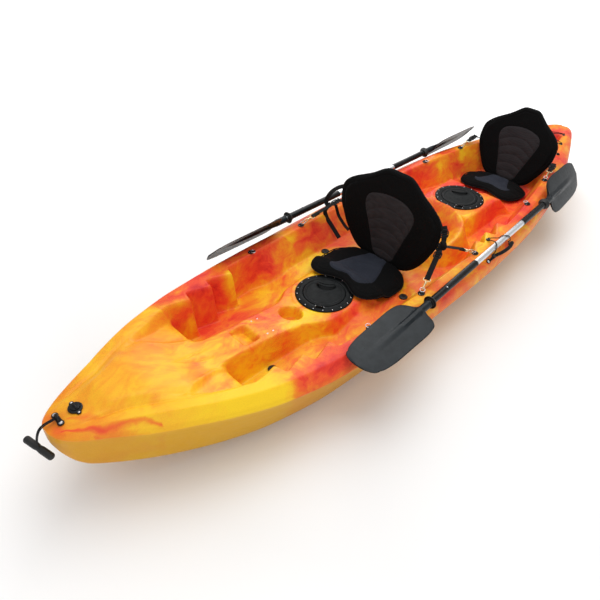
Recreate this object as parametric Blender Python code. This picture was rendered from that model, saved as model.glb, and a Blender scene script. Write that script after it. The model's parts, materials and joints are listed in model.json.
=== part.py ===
"""Two-seat sit-on-top kayak with its seats, hatches, deck fittings and two paddles.

Metres, +Z up. The hull lies along Y with the bow towards -Y, port is +X, and the
origin is on the keel's flat, half way between bow and stern.
"""

import math

import bmesh
import bpy
import numpy as np
from mathutils import Matrix, Vector

# Hull
WALL = 0.0045
LINING = 0.005
CUTTER_TOP = 0.45
EDGE_DROP = 0.028
BAND_HEIGHT = 0.065
GUNWALE_FLAT = 0.095
CONSOLE_WALL = 0.032
STEP_DEPTH = 0.05
STEP_FACE = 0.012
FRONT_STEPS = (-1.105, -0.978, -0.851)
REAR_STEPS = (0.205, 0.305, 0.42)
DISH_Y = 0.17
DISH_RADIUS = 0.225
DISH_FLOOR = 0.185
CUP_Y = -0.77
CUP_RADIUS = 0.048
CUP_DEPTH = 0.09
POCKET = (0.052, -1.078, -0.998)
POCKET_DEPTH = 0.035

# Hatches
FRONT_HATCH_Y = -0.554
REAR_HATCH_Y = 0.56
HATCH_RADIUS = 0.135
HATCH_HOLE = 0.1065
LID_RADIUS = 0.0985
HINGE_ANGLE = math.radians(-58)
HINGE_REACH = 0.1095

# Fittings
GAP = 0.0003
EYE_STATIONS = (-0.68, -0.338, 0.10, 0.686, 0.986)
EYE_INSET = 0.085
SCUPPERS = ((0.135, -1.005), (0.25, -0.275))
SCUPPER_RADIUS = 0.016
RING_RADIUS = 0.011
BOW_EYE_Y = -1.803
DRAIN_Y = -1.743
HANDLE_X = 0.4385
HANDLE_TABS = (0.122, 0.330)
HANDLE_LIFT = 0.0112
HANDLE_RADIUS = 0.0085
HANDLE_BOW = ((0.452, 0.145, 0.3035), (0.463, 0.185, 0.3085), (0.467, 0.228, 0.3095), (0.464, 0.270, 0.3080),
              (0.453, 0.308, 0.3030))

# Bow toggle, its cord's heights measured from the deck at the pad-eye
TOGGLE = (-0.004, -1.884, 0.300)
TOGGLE_PIVOT = (0.0, -1.803, 0.384)
TOGGLE_CORD = (
    (-0.004, -1.884, -0.078), (-0.004, -1.884, -0.056), (-0.005, -1.881, -0.036), (-0.005, -1.8735, -0.014),
    (-0.005, -1.862, 0.0035), (-0.003, -1.845, 0.0115), (-0.001, -1.825, 0.0125), (0.0, -1.804, 0.0125),
)

# Seats
SEAT_HALF_WIDTH = 0.215
PAD_THICKNESS = 0.034
BACK_HALF_WIDTH = 0.27
BACK_THICKNESS = 0.034
FRONT_PAD = (-0.460, -0.152)
REAR_PAD = (0.862, 1.069)
REAR_SEAT_HALF_WIDTH = 0.195
PAD_LOBES = ((0.0, 0.2, 0.45, 0.6, 0.8, 0.92, 1.0), (0.13, 0.10, 0.015, 0.0, 0.05, 0.16, 0.40))
FRONT_BACK_PIVOT = (0.0, -0.1455, 0.1985)
REAR_BACK_PIVOT = (0.0, 1.0765, 0.2130)
BACK_SHAPE = ((-0.085, 0.10), (-0.065, 0.155), (0.0, 0.220), (0.08, 0.262), (0.16, 0.288), (0.215, 0.288),
              (0.26, 0.254), (0.32, 0.150), (0.362, 0.085), (0.376, 0.05))
REAR_BACK_SHAPE = ((-0.072, 0.09), (-0.052, 0.135), (0.01, 0.185), (0.08, 0.222), (0.14, 0.238), (0.195, 0.236),
                   (0.245, 0.200),
                   (0.30, 0.120), (0.345, 0.060), (0.36, 0.04))

# Straps: where each leaves its backrest, the number of its deck eye, and its side
STRAPS = {
    "front_port_forward": ((0.306, -0.136, 0.385), 1, 1),
    "front_starboard_forward": ((-0.306, -0.136, 0.385), 1, -1),
    "front_port_aft": ((0.270, -0.098, 0.385), 2, 1),
    "front_starboard_aft": ((-0.270, -0.098, 0.385), 2, -1),
    "rear_port_forward": ((0.262, 1.105, 0.385), 4, 1),
    "rear_starboard_forward": ((-0.262, 1.105, 0.385), 4, -1),
}

# Paddles
SHAFT_RADIUS = 0.0145
SLEEVE_RADIUS = 0.0162
SHAFTS = {
    "port": ((0.4490, -0.408, 0.3215), (0.4050, 0.735, 0.3410)),
    "starboard": ((-0.4210, -0.398, 0.3330), (-0.4000, 0.780, 0.3340)),
}
BUTTON_Y = -0.27
BARE_FROM = -0.01
BARE_TO = 0.46
BLADE_WIDTH = ((0.0, 0.0172), (0.03, 0.0172), (0.05, 0.030), (0.07, 0.070), (0.10, 0.094), (0.16, 0.101),
               (0.25, 0.099), (0.35, 0.096), (0.42, 0.086), (0.46, 0.060), (0.475, 0.030))
BLADE_SPINE = ((0.0, 0.0172), (0.05, 0.0168), (0.12, 0.0125), (0.30, 0.0085), (0.40, 0.0035), (0.475, 0.0022))
BLADE_EDGE = ((0.0, 0.0100), (0.05, 0.0040), (0.12, 0.0020), (0.475, 0.0016))


# ---------------------------------------------------------------- rules for the hull's lines

BEAM = (
    (-1.85, 0.018), (-1.838, 0.046), (-1.80, 0.086), (-1.70, 0.148), (-1.527, 0.245), (-1.35, 0.325),
    (-1.15, 0.388), (-0.857, 0.434), (-0.45, 0.454), (0.0, 0.458), (0.45, 0.443), (0.85, 0.392),
    (1.23, 0.302), (1.5, 0.21), (1.7, 0.13), (1.8, 0.085), (1.838, 0.055), (1.85, 0.03),
)
CROWN = ((-1.85, 0.366), (-1.7, 0.374), (-1.5, 0.362), (-1.2, 0.325), (-0.9, 0.300), (-0.5, 0.292),
         (0.0, 0.296), (0.5, 0.312), (0.9, 0.334), (1.3, 0.348), (1.6, 0.352), (1.85, 0.335))
KEEL = ((-1.85, 0.300), (-1.838, 0.262), (-1.81, 0.208), (-1.77, 0.165), (-1.6, 0.105), (-1.4, 0.060),
        (-1.1, 0.018), (-0.8, 0.0), (0.9, 0.0), (1.2, 0.014), (1.5, 0.062), (1.7, 0.120), (1.82, 0.190),
        (1.85, 0.250))
BILGE = ((-1.85, 0.312), (-1.838, 0.285), (-1.8, 0.225), (-1.65, 0.155), (-1.45, 0.112), (-1.2, 0.074),
         (-0.8, 0.045), (0.9, 0.045), (1.3, 0.078), (1.6, 0.135), (1.8, 0.205), (1.85, 0.275))
CENTRE = ((-1.85, 0.366), (-1.75, 0.378), (-1.55, 0.372), (-1.4, 0.326), (-1.2, 0.262), (-1.06, 0.244),
          (-0.93, 0.228), (-0.80, 0.204), (-0.705, 0.190), (-0.405, 0.190), (-0.375, 0.150), (-0.06, 0.150),
          (0.0, 0.175), (0.36, 0.2), (0.41, 0.267), (0.715, 0.267), (0.782, 0.180), (1.125, 0.180),
          (1.2, 0.300), (1.27, 0.300), (1.32, 0.255), (1.62, 0.255), (1.68, 0.340), (1.85, 0.332))
SIDE_FLOOR = ((-1.85, 0.366), (-1.75, 0.376), (-1.55, 0.366), (-1.4, 0.313), (-1.222, 0.252),
              (-1.19, 0.112), (-0.72, 0.110), (-0.5, 0.160), (0.0, 0.165), (0.12, 0.160), (0.56, 0.170),
              (0.76, 0.180), (1.125, 0.180), (1.2, 0.300), (1.27, 0.300), (1.32, 0.255), (1.62, 0.255),
              (1.68, 0.340), (1.85, 0.332))
CONSOLE = ((-1.85, 0.01), (-1.5, 0.10), (-1.42, 0.14), (-1.33, 0.11), (-1.25, 0.09), (-1.15, 0.076),
           (-0.8, 0.090), (-0.74, 0.105), (-0.655, 0.146), (-0.42, 0.150), (-0.36, 0.20), (-0.10, 0.20),
           (0.0, 0.14), (0.17, 0.10), (0.34, 0.10), (0.4, 0.155), (0.70, 0.16), (0.78, 0.215),
           (1.12, 0.2), (1.3, 0.1), (1.85, 0.01))
INNER_WALL = ((-1.85, 0.03), (-0.75, 0.03), (-0.55, 0.085), (-0.05, 0.085), (0.1, 0.03), (0.55, 0.03),
              (0.75, 0.07), (1.13, 0.06), (1.3, 0.03), (1.85, 0.03))


def along(y, stops):
    """Smooth curve through (y, value) stops that never overshoots them."""
    ys = np.array([stop[0] for stop in stops])
    values = np.array([stop[1] for stop in stops])
    steps = np.diff(ys)
    slopes = np.diff(values) / steps
    bends = np.zeros_like(values)
    inner = slopes[:-1] * slopes[1:]
    same_way = inner > 0
    bends[1:-1][same_way] = 2 * inner[same_way] / (slopes[:-1] + slopes[1:])[same_way]
    bends[0], bends[-1] = slopes[0], slopes[-1]
    y = np.clip(np.asarray(y, float), ys[0], ys[-1])
    at = np.clip(np.searchsorted(ys, y) - 1, 0, len(steps) - 1)
    t = (y - ys[at]) / steps[at]
    start = (1 + 2 * t) * (1 - t) ** 2 * values[at] + t * (1 - t) ** 2 * steps[at] * bends[at]
    end = t * t * (3 - 2 * t) * values[at + 1] - t * t * (1 - t) * steps[at] * bends[at + 1]
    return start + end


def ramp(t):
    t = np.clip(t, 0, 1)
    return t * t * (3 - 2 * t)


def steps_in(y):
    """How far the stepped foot braces stand in from the gunwale's inner edge."""
    y = np.asarray(y, float)
    reach = np.zeros_like(y)
    for faces in (FRONT_STEPS, REAR_STEPS):
        pitch = (faces[-1] - faces[0]) / (len(faces) - 1)
        for face in faces:
            rise = np.clip(1 - (face - y) / (pitch - STEP_FACE), 0, 1)
            fall = np.clip(1 - (y - face) / STEP_FACE, 0, 1)
            reach = np.maximum(reach, STEP_DEPTH * np.where(y <= face, rise, fall))
    return reach


def narrow(y):
    """Shrinks the gunwale's widths where the hull is slim, near its ends."""
    return np.minimum(1, along(y, BEAM) / 0.2)


def inner_edge(y):
    return along(y, BEAM) - GUNWALE_FLAT * narrow(y) - steps_in(y)


def crown_height(x, y):
    """The gunwale's top: level, then a bevel down to the outer edge."""
    bevel = (np.abs(x) - along(y, BEAM) + 0.06 * narrow(y)) / (0.05 * narrow(y))
    return along(y, CROWN) - EDGE_DROP * narrow(y) * np.clip(bevel, 0, 1) ** 1.3


def dish_height(x, y):
    """The round child's seat amidships, whose rim rises towards the rear hatch."""
    reach = np.hypot(x, y - DISH_Y)
    rim = 0.22 + 0.08 * ramp((y + 0.06) / 0.40)
    inside = DISH_FLOOR + (rim - DISH_FLOOR) * ramp((reach - 0.12) / (DISH_RADIUS - 0.12))
    spread = 0.022 + 0.05 * np.minimum(1, np.abs(x) / DISH_RADIUS)
    outside = rim - (rim - 0.12) * np.clip((reach - DISH_RADIUS) / spread, 0, 1)
    return np.where(reach < DISH_RADIUS, inside, outside), reach


def deck_height(x, y):
    """The moulded deck: gunwales, foot wells, console, seat pans, dish and tank well."""
    x, y = np.broadcast_arrays(np.asarray(x, float), np.asarray(y, float))
    across = np.abs(x)
    centre, floor = along(y, CENTRE), along(y, SIDE_FLOOR)
    console = along(y, CONSOLE)
    middle = floor + (centre - floor) * (1 - np.clip((across - console) / CONSOLE_WALL, 0, 1))
    dish, reach = dish_height(x, y)
    middle = np.where(reach < DISH_RADIUS, dish, np.maximum(middle, dish))
    edge = inner_edge(y)
    wall = along(y, INNER_WALL) * narrow(y)
    rise = np.clip((across - edge + wall) / wall, 0, 1)
    lip = crown_height(edge, y)
    inside = np.maximum(middle, floor + (lip - floor) * rise)
    return np.where(across < edge, inside, crown_height(x, y))


def hull_ring(y, inset=0.0):
    """The hull's closed section at one station, as (x, z) from starboard over the deck to port."""
    beam = float(along(y, BEAM)) - inset
    edge = float(inner_edge(y))
    wall = float(along(y, INNER_WALL) * narrow(y))
    foot = edge - wall
    console = min(float(along(y, CONSOLE)), 0.62 * foot)
    side = min(console + CONSOLE_WALL, console + 0.45 * (foot - console))
    chord = DISH_RADIUS ** 2 - (y - DISH_Y) ** 2
    if chord > 0.003:
        side = min(math.sqrt(chord), foot - 0.03)
        console = 0.6 * side
    outer = beam - 0.012 * float(narrow(y))
    bevel = beam + inset - 0.058 * float(narrow(y))
    half = [0.0, 0.5 * console, console, side, 0.5 * (side + foot), foot, edge, bevel, outer]
    top = []
    for x in half:
        level = float(deck_height(x, y))
        if inset:
            near = [deck_height(x + dx, y + dy) for dx, dy in ((-inset, 0), (inset, 0), (0, -inset), (0, inset))]
            level = min([level] + [float(value) for value in near]) - inset
        top.append((x, level))
    keel = float(along(y, KEEL)) + inset
    bilge = float(along(y, BILGE)) + inset
    chine = top[-1][1] - BAND_HEIGHT * float(narrow(y)) * 0.75 - 0.015
    lift = min(0.035, 0.8 * (bilge - keel))
    chine = max(chine, bilge + 0.012)
    under = [
        (beam, chine), (0.80 * beam, bilge), (0.64 * beam, keel + 0.25 * (bilge - keel) * (keel > WALL + 0.001)),
        (0.53 * beam, keel + 0.2 * (bilge - keel) * (keel > WALL + 0.001)), (0.40 * beam, keel + lift),
        (0.2 * beam, keel + lift * 0.85), (0.075 * beam, keel),
    ]
    starboard = [(-x, z) for x, z in reversed(under)] + [(-x, z) for x, z in reversed(top[1:])]
    return starboard + top + under


def stations():
    """Cross-sections close together where the shape turns, and wide apart elsewhere."""
    plain = [-1.85, -1.838, -1.81, -1.77, -1.70, -1.61, -1.52, -1.43, -1.34, -1.26, -1.222, -1.19, -1.04,
             -0.915, -0.80, -0.705, -0.655, -0.54, -0.405, -0.375, -0.27, -0.12, -0.055, 0.0, 0.075, 0.15,
             0.25, 0.355, 0.395, 0.421, 0.56, 0.70, 0.765, 0.90, 1.02, 1.13, 1.2, 1.27, 1.32, 1.47,
             1.62, 1.68, 1.75, 1.80, 1.838, 1.85]
    faces = [face + after for face in FRONT_STEPS + REAR_STEPS for after in (0.0, STEP_FACE)]
    return sorted(plain + faces)


# ---------------------------------------------------------------- helpers


def material(name, colour, roughness, metallic=0.0):
    made = bpy.data.materials.get(name) or bpy.data.materials.new(name)
    made.use_nodes = True
    shader = made.node_tree.nodes["Principled BSDF"]
    shader.inputs["Base Color"].default_value = (*colour, 1)
    shader.inputs["Roughness"].default_value = roughness
    shader.inputs["Metallic"].default_value = metallic
    return made


def finish(bm, name, mat):
    bmesh.ops.remove_doubles(bm, verts=bm.verts, dist=1e-6)
    bmesh.ops.recalc_face_normals(bm, faces=bm.faces)
    mesh = bpy.data.meshes.new(name)
    bm.to_mesh(mesh)
    bm.free()
    mesh.shade_smooth()
    mesh.set_sharp_from_angle(angle=math.radians(35))
    obj = bpy.data.objects.new(name, mesh)
    bpy.context.scene.collection.objects.link(obj)
    obj.data.materials.append(mat)
    return obj


def solid(name, verts, faces, mat):
    bm = bmesh.new()
    made = [bm.verts.new(v) for v in verts]
    for face in faces:
        bm.faces.new([made[i] for i in face])
    return finish(bm, name, mat)


def loft(name, rings, mat):
    """A closed skin through rings of equal length, capped at both ends."""
    count = len(rings[0])
    verts = [point for ring in rings for point in ring]
    faces = [tuple(range(count)), tuple(range(len(verts) - count, len(verts)))]
    for r in range(len(rings) - 1):
        for i in range(count):
            a, b = r * count + i, r * count + (i + 1) % count
            faces.append((a, b, b + count, a + count))
    return solid(name, verts, faces, mat)


def turned(name, profile, mat, segments=24, at=(0, 0, 0)):
    """A closed profile of (radius, height) turned about an upright axis."""
    verts, faces = [], []
    for k in range(segments):
        angle = 2 * math.pi * k / segments
        for radius, height in profile:
            verts.append((radius * math.cos(angle), radius * math.sin(angle), height))
    count = len(profile)
    for k in range(segments):
        after = (k + 1) % segments
        for i in range(count):
            j = (i + 1) % count
            if profile[i][0] == 0 and profile[j][0] == 0:
                continue
            corners = [k * count + i, after * count + i, after * count + j, k * count + j]
            if profile[i][0] == 0:
                corners.pop(1)
            elif profile[j][0] == 0:
                corners.pop(2)
            faces.append(corners)
    bm = bmesh.new()
    made = [bm.verts.new(v) for v in verts]
    bmesh_faces = [[made[i] for i in face] for face in faces]
    for face in bmesh_faces:
        bm.faces.new(face)
    bmesh.ops.delete(bm, geom=[v for v in bm.verts if not v.link_faces], context="VERTS")
    obj = finish(bm, name, mat)
    obj.location = at
    return obj


def block(name, size, mat, at=(0, 0, 0), bevel=0.0):
    bm = bmesh.new()
    bmesh.ops.create_cube(bm, size=1, matrix=Matrix.Diagonal((*size, 1)))
    if bevel:
        bmesh.ops.bevel(bm, geom=bm.edges, offset=bevel, segments=1, affect="EDGES")
    obj = finish(bm, name, mat)
    obj.location = at
    return obj


def tube(name, points, radius, mat, closed=False, sides=8):
    """A round bar along a list of points."""
    points = [Vector(p) for p in points]
    last = len(points) - 1
    up = Vector((0, 0, 1))
    rings = []
    for i, point in enumerate(points):
        before = points[i - 1] if i or closed else points[0]
        after = points[(i + 1) % len(points)] if i < last or closed else points[last]
        way = (after - before).normalized()
        across = way.cross(up)
        if across.length < 0.05:
            across = way.cross(Vector((1, 0, 0)))
        across.normalize()
        rise = across.cross(way)
        turn = [2 * math.pi * (k + 0.5) / sides for k in range(sides)]
        rings.append([point + radius * (math.cos(a) * across + math.sin(a) * rise) for a in turn])
    if not closed:
        return loft(name, rings, mat)
    count = len(rings)
    faces = []
    for r in range(count):
        for i in range(sides):
            j, n = (i + 1) % sides, (r + 1) % count
            faces.append((r * sides + i, r * sides + j, n * sides + j, n * sides + i))
    return solid(name, [p for ring in rings for p in ring], faces, mat)


def smooth_route(points, spacing):
    """Evenly spaced points on a Catmull-Rom curve through the given ones."""
    points = [Vector(p) for p in points]
    padded = [2 * points[0] - points[1]] + points + [2 * points[-1] - points[-2]]
    fine = []
    for i in range(1, len(padded) - 2):
        a, b, c, d = padded[i - 1:i + 3]
        for k in range(20):
            t = k / 20
            fine.append(0.5 * (2 * b + (c - a) * t + (2 * a - 5 * b + 4 * c - d) * t * t
                               + (3 * b - a - 3 * c + d) * t ** 3))
    fine.append(points[-1])
    total = sum((b - a).length for a, b in zip(fine, fine[1:]))
    count = max(2, round(total / spacing))
    route, travelled, k = [fine[0]], 0.0, 0
    for n in range(1, count):
        goal = total * n / count
        while travelled + (fine[k + 1] - fine[k]).length < goal:
            travelled += (fine[k + 1] - fine[k]).length
            k += 1
        route.append(fine[k].lerp(fine[k + 1], (goal - travelled) / (fine[k + 1] - fine[k]).length))
    return route + [fine[-1]]


def cord(name, route, radius, mat):
    """A cord as a curve with a round bevel and filled caps."""
    curve = bpy.data.curves.new(name, "CURVE")
    curve.dimensions = "3D"
    curve.bevel_depth = radius
    curve.bevel_resolution = 2
    curve.use_fill_caps = True
    spline = curve.splines.new("POLY")
    spline.points.add(len(route) - 1)
    for point, place in zip(spline.points, route):
        point.co = (*place, 1)
    obj = bpy.data.objects.new(name, curve)
    bpy.context.scene.collection.objects.link(obj)
    obj.data.materials.append(mat)
    return obj


def boolean(target, other, operation):
    change = target.modifiers.new(operation.title() + " " + other.name, "BOOLEAN")
    change.operation = operation
    change.object = other
    other.hide_render = True
    other.display_type = "WIRE"
    if other.parent is None and target.parent is not None:
        other.parent = target.parent


def join(target, other):
    boolean(target, other, "UNION")


def cut(target, other):
    boolean(target, other, "DIFFERENCE")


def pivot(obj, point):
    """Puts the origin of an unturned object on its joint's axis without moving its shape."""
    point = Vector(point)
    obj.data.transform(Matrix.Translation(obj.location - point))
    obj.location = point


# ---------------------------------------------------------------- materials

for leftover in list(bpy.data.objects):
    bpy.data.objects.remove(leftover, do_unlink=True)

POLY = material("polyethylene", (0.86, 0.36, 0.07), 0.42)
NYLON = material("black_nylon", (0.012, 0.013, 0.015), 0.45)
FABRIC = material("seat_fabric", (0.014, 0.014, 0.016), 0.9)
WEBBING = material("webbing", (0.012, 0.012, 0.013), 0.8)
ALUMINIUM = material("aluminium", (0.78, 0.79, 0.81), 0.28, 1.0)
STAINLESS = material("stainless", (0.70, 0.70, 0.72), 0.2, 1.0)
BRASS = material("brass", (0.80, 0.60, 0.28), 0.3, 1.0)
RUBBER = material("rubber", (0.015, 0.015, 0.016), 0.6)
BLADE = material("blade_plastic", (0.030, 0.034, 0.040), 0.35)
BUNGEE = material("bungee", (0.01, 0.01, 0.01), 0.75)


# ---------------------------------------------------------------- hull


def bottom_height(x, y):
    """Height of the hull's underside at a point, read from its section."""
    under = [(px, pz) for px, pz in hull_ring(y)[-7:]] + [(0.0, float(along(y, KEEL)))]
    xs = [p[0] for p in reversed(under)]
    zs = [p[1] for p in reversed(under)]
    return float(np.interp(abs(x), xs, zs))


def follow(x, y, sink):
    """A point just inside the deck's skin."""
    return float(deck_height(x, y)) - sink


def well(name, outline, floor_at, sink, mat):
    """An upright prism for a cup or a pocket: a wall's top follows the deck, a cutter's stands clear of it."""
    floor = [(x, y, floor_at) for x, y in outline]
    if sink is None:
        roof = [(x, y, CUTTER_TOP) for x, y in outline]
    else:
        roof = [(x, y, follow(x, y, sink)) for x, y in outline]
    return loft(name, [floor, roof], mat)


def circle(radius, x, y, count):
    turn = [2 * math.pi * k / count for k in range(count)]
    return [(x + radius * math.cos(a), y + radius * math.sin(a)) for a in turn]


def make_hull():
    rings = [[(x, y, z) for x, z in hull_ring(y)] for y in stations()]
    hull = loft("hull", rings, POLY)
    inner = [[(x, y, z) for x, z in hull_ring(y, WALL)] for y in stations()[1:-1]]
    cut(hull, loft("hull_hollow", inner, POLY))

    cup_floor = follow(0, CUP_Y, CUP_DEPTH)
    join(hull, well("cup_wall", circle(CUP_RADIUS + LINING, 0, CUP_Y, 24), cup_floor - LINING, 0.003, POLY))
    cut(hull, well("cup_space", circle(CUP_RADIUS, 0, CUP_Y, 24), cup_floor, None, POLY))

    half, front, back = POCKET
    low = follow(0, (front + back) / 2, POCKET_DEPTH)

    def corners(extra):
        side = half + extra
        return [(-side, front - extra), (side, front - extra), (side, back + extra), (-side, back + extra)]

    join(hull, well("pocket_wall", corners(LINING), low - LINING, 0.003, POLY))
    cut(hull, well("pocket_space", corners(0.0), low, None, POLY))

    for x, y in SCUPPERS:
        for side, word in ((1, "port"), (-1, "starboard")):
            base = bottom_height(x, y) + 0.003
            tag = f"{word}_{'front' if y < -0.5 else 'seat'}"
            outer = circle(SCUPPER_RADIUS + LINING, side * x, y, 12)
            join(hull, well("scupper_wall_" + tag, outer, base, 0.003, POLY))
            bore = circle(SCUPPER_RADIUS, side * x, y, 12)
            cut(hull, well("scupper_bore_" + tag, bore, -0.02, None, POLY))

    for y in (FRONT_HATCH_Y, REAR_HATCH_Y):
        deck = float(deck_height(0, y))
        cutter = turned(f"hatch_hole_{'front' if y < 0 else 'rear'}",
                        [(0, -0.02), (HATCH_HOLE, -0.02), (HATCH_HOLE, 0.02), (0, 0.02)], POLY, 32, (0, y, deck))
        cut(hull, cutter)


# ---------------------------------------------------------------- hatches


def make_hatch(end, y):
    """A screwed-down rim, its gasket, and a lid hinged at the rim's forward port side."""
    deck = float(deck_height(0, y))
    rim = turned(f"{end}_hatch_rim",
                 [(0.1000, -0.026), (0.1045, -0.026), (0.1045, GAP), (HATCH_RADIUS, GAP),
                  (HATCH_RADIUS, 0.0045), (HATCH_RADIUS - 0.002, 0.0065), (0.1000, 0.0065)], NYLON, 40, (0, y, deck))
    lid = turned(f"{end}_hatch_lid",
                 [(0, -0.010), (0.088, -0.010), (0.090, -0.016), (0.0955, -0.016), (0.0955, 0.0),
                  (LID_RADIUS, 0.0), (LID_RADIUS, 0.0065), (0.0965, 0.0080), (0, 0.0080)], NYLON, 40, (0, y, deck))
    way = Vector((math.cos(HINGE_ANGLE), math.sin(HINGE_ANGLE), 0))
    along_pin = Vector((-way.y, way.x, 0))
    hinge = Vector((0, y, deck + 0.0118)) + HINGE_REACH * way

    def knuckle(name, start, end_):
        centre = [hinge + along_pin * s for s in (start, end_)]
        return tube(name, centre, 0.0038, NYLON, sides=8)

    tab = block(f"{end}_lid_tab", (0.020, 0.018, 0.0035), NYLON, bevel=0.0006)
    tab.matrix_world = (Matrix.Translation(hinge - 0.0115 * way + Vector((0, 0, -0.0025)))
                        @ Matrix.Rotation(HINGE_ANGLE, 4, "Z"))
    join(lid, tab)
    join(lid, knuckle(f"{end}_lid_knuckle", -0.009, 0.009))
    for number, start in enumerate((-0.0185, 0.0095)):
        join(rim, knuckle(f"{end}_rim_knuckle_{number}", start, start + 0.009))
        foot = block(f"{end}_rim_lug_{number}", (0.006, 0.009, 0.008), NYLON)
        foot.matrix_world = (Matrix.Translation(hinge + along_pin * (start + 0.0045) + Vector((0, 0, -0.0055)))
                             @ Matrix.Rotation(HINGE_ANGLE, 4, "Z"))
        join(rim, foot)

    grip_centre = Vector((0, y, deck)) - 0.050 * way
    bowl = turned(f"{end}_grip_bowl", [(0, 0.0), (0.024, 0.0), (0.030, 0.012), (0, 0.012)], NYLON, 16)
    bowl.matrix_world = Matrix.Translation(grip_centre + Vector((0, 0, 0.0012)))
    cut(lid, bowl)
    pivot(lid, hinge)
    ends = [grip_centre + along_pin * s + way * w + Vector((0, 0, h))
            for s, w, h in ((-0.034, -0.004, 0.0065), (-0.018, 0.006, 0.0125), (0, 0.009, 0.0140),
                            (0.018, 0.006, 0.0125), (0.034, -0.004, 0.0065))]
    join(lid, tube(f"{end}_grip_bar", smooth_route(ends, 0.012), 0.0042, NYLON, sides=6))


# ---------------------------------------------------------------- bow fittings


def make_bow():
    top = float(deck_height(0, BOW_EYE_Y))
    pad = block("bow_pad_eye", (0.060, 0.022, 0.005), NYLON, (0, BOW_EYE_Y, top + 0.0042), 0.0015)
    arch = tube("bow_pad_arch", smooth_route([(-0.015, BOW_EYE_Y, top + 0.004), (-0.011, BOW_EYE_Y, top + 0.016),
                                              (0, BOW_EYE_Y, top + 0.021), (0.011, BOW_EYE_Y, top + 0.016),
                                              (0.015, BOW_EYE_Y, top + 0.004)], 0.008), 0.0038, NYLON, sides=6)
    join(pad, arch)

    cord_base = top
    top = float(deck_height(0, DRAIN_Y))
    base = turned("drain_base", [(0.0125, 0.0), (0.021, 0.0), (0.023, 0.003), (0.021, 0.006), (0.0125, 0.006)],
                  NYLON, 20, (0, DRAIN_Y, top + 0.0015))
    wings = block("drain_wings", (0.060, 0.016, 0.004), NYLON, (0, DRAIN_Y, top + 0.0038), 0.0012)
    hole = turned("drain_bore", [(0, -0.02), (0.0125, -0.02), (0.0125, 0.02), (0, 0.02)], NYLON, 20,
                  (0, DRAIN_Y, top))
    join(base, wings)
    cut(base, hole)
    plug = turned("drain_plug", [(0, 0.0015), (0.0120, 0.0015), (0.0120, 0.0075), (0.0150, 0.0078),
                                 (0.0150, 0.0110), (0, 0.0115)], NYLON, 20, (0, DRAIN_Y, top))
    join(plug, block("drain_plug_bar", (0.026, 0.005, 0.007), NYLON, (0, DRAIN_Y, top + 0.0135), 0.001))

    middle = Vector(TOGGLE)
    slant = Vector((1, 0.3, -0.22))
    stops = (-0.056, -0.028, 0, 0.028, 0.056)
    toggle = tube("bow_toggle", [middle + stop * slant for stop in stops], 0.0125, RUBBER, sides=10)
    hole = tube("toggle_eye", [middle + Vector((0, 0, -0.02)), middle + Vector((0, 0, 0.02))], 0.0048, RUBBER, sides=8)
    cut(toggle, hole)
    route = [(x, y, cord_base + rise) for x, y, rise in TOGGLE_CORD]
    rope = cord("bow_toggle_cord", smooth_route(route, 0.007), 0.0024, BUNGEE)
    pivot(toggle, TOGGLE_PIVOT)
    pivot(rope, TOGGLE_PIVOT)


# ---------------------------------------------------------------- placing things on the deck


def surface(x, y):
    return Vector((x, y, float(crown_height(x, y)) if abs(x) > float(inner_edge(y)) else float(deck_height(x, y))))


def on_deck(x, y, lift):
    """A matrix that stands a fitting on the deck, square to the surface there."""
    step = 0.004
    ahead = surface(x, y + step) - surface(x, y - step)
    across = surface(x + step, y) - surface(x - step, y)
    up = across.cross(ahead).normalized()
    along_y = (ahead - up * ahead.dot(up)).normalized()
    frame = Matrix((along_y.cross(up), along_y, up)).transposed().to_4x4()
    frame.translation = surface(x, y) + lift * up
    return frame


# ---------------------------------------------------------------- deck eyes


def eye_place(y, side):
    return on_deck(side * (float(along(y, BEAM)) - EYE_INSET), y, 0.0009)


def eye_hole(y, side):
    return eye_place(y, side) @ Vector((0, 0, 0.0095))


def make_eye(name, y, side, pull):
    """A nylon dome with a wire ring through it, lying over or pulled up by a strap."""
    frame = eye_place(y, side)
    eye = turned(name, [(0, 0.0), (0.0145, 0.0), (0.0145, 0.003), (0.009, 0.0085), (0, 0.0105)], NYLON, 12)
    eye.matrix_world = frame
    hole = eye_hole(y, side)
    way = (pull - hole).normalized() if pull else Vector((-side * 0.9, 0.1, -0.05)).normalized()
    cross = way.cross(Vector((0, 0, 1))).normalized()
    turn = [2 * math.pi * k / 12 for k in range(12)]
    ring = [hole + RING_RADIUS * ((1 + math.cos(a)) * way + math.sin(a) * cross) for a in turn]
    wire = tube(name + "_ring", ring, 0.0015, STAINLESS, closed=True, sides=5)
    join(eye, wire)
    return eye


# ---------------------------------------------------------------- side handles and paddle bungees


def side_line(points, side):
    return [Vector((side * x, y, z)) for x, y, z in points]


def make_side_handle(word, side):
    """A sleeved carry strap bowed out from two short ferrules over the gunwale's bevel."""
    first, last = [on_deck(side * HANDLE_X, y, HANDLE_LIFT).translation for y in HANDLE_TABS]
    middle = side_line(HANDLE_BOW, side)
    route = smooth_route([first, *middle, last], 0.022)
    handle = tube(f"side_handle_{word}", route, HANDLE_RADIUS, WEBBING, sides=8)
    axle = (last - first).normalized()
    for number, end in enumerate((first, last)):
        ferrule = [end - 0.011 * axle, end + 0.011 * axle]
        join(handle, tube(f"handle_ferrule_{word}_{number}", ferrule, 0.0088, WEBBING, sides=12))
    pivot(handle, (first + last) / 2)


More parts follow.
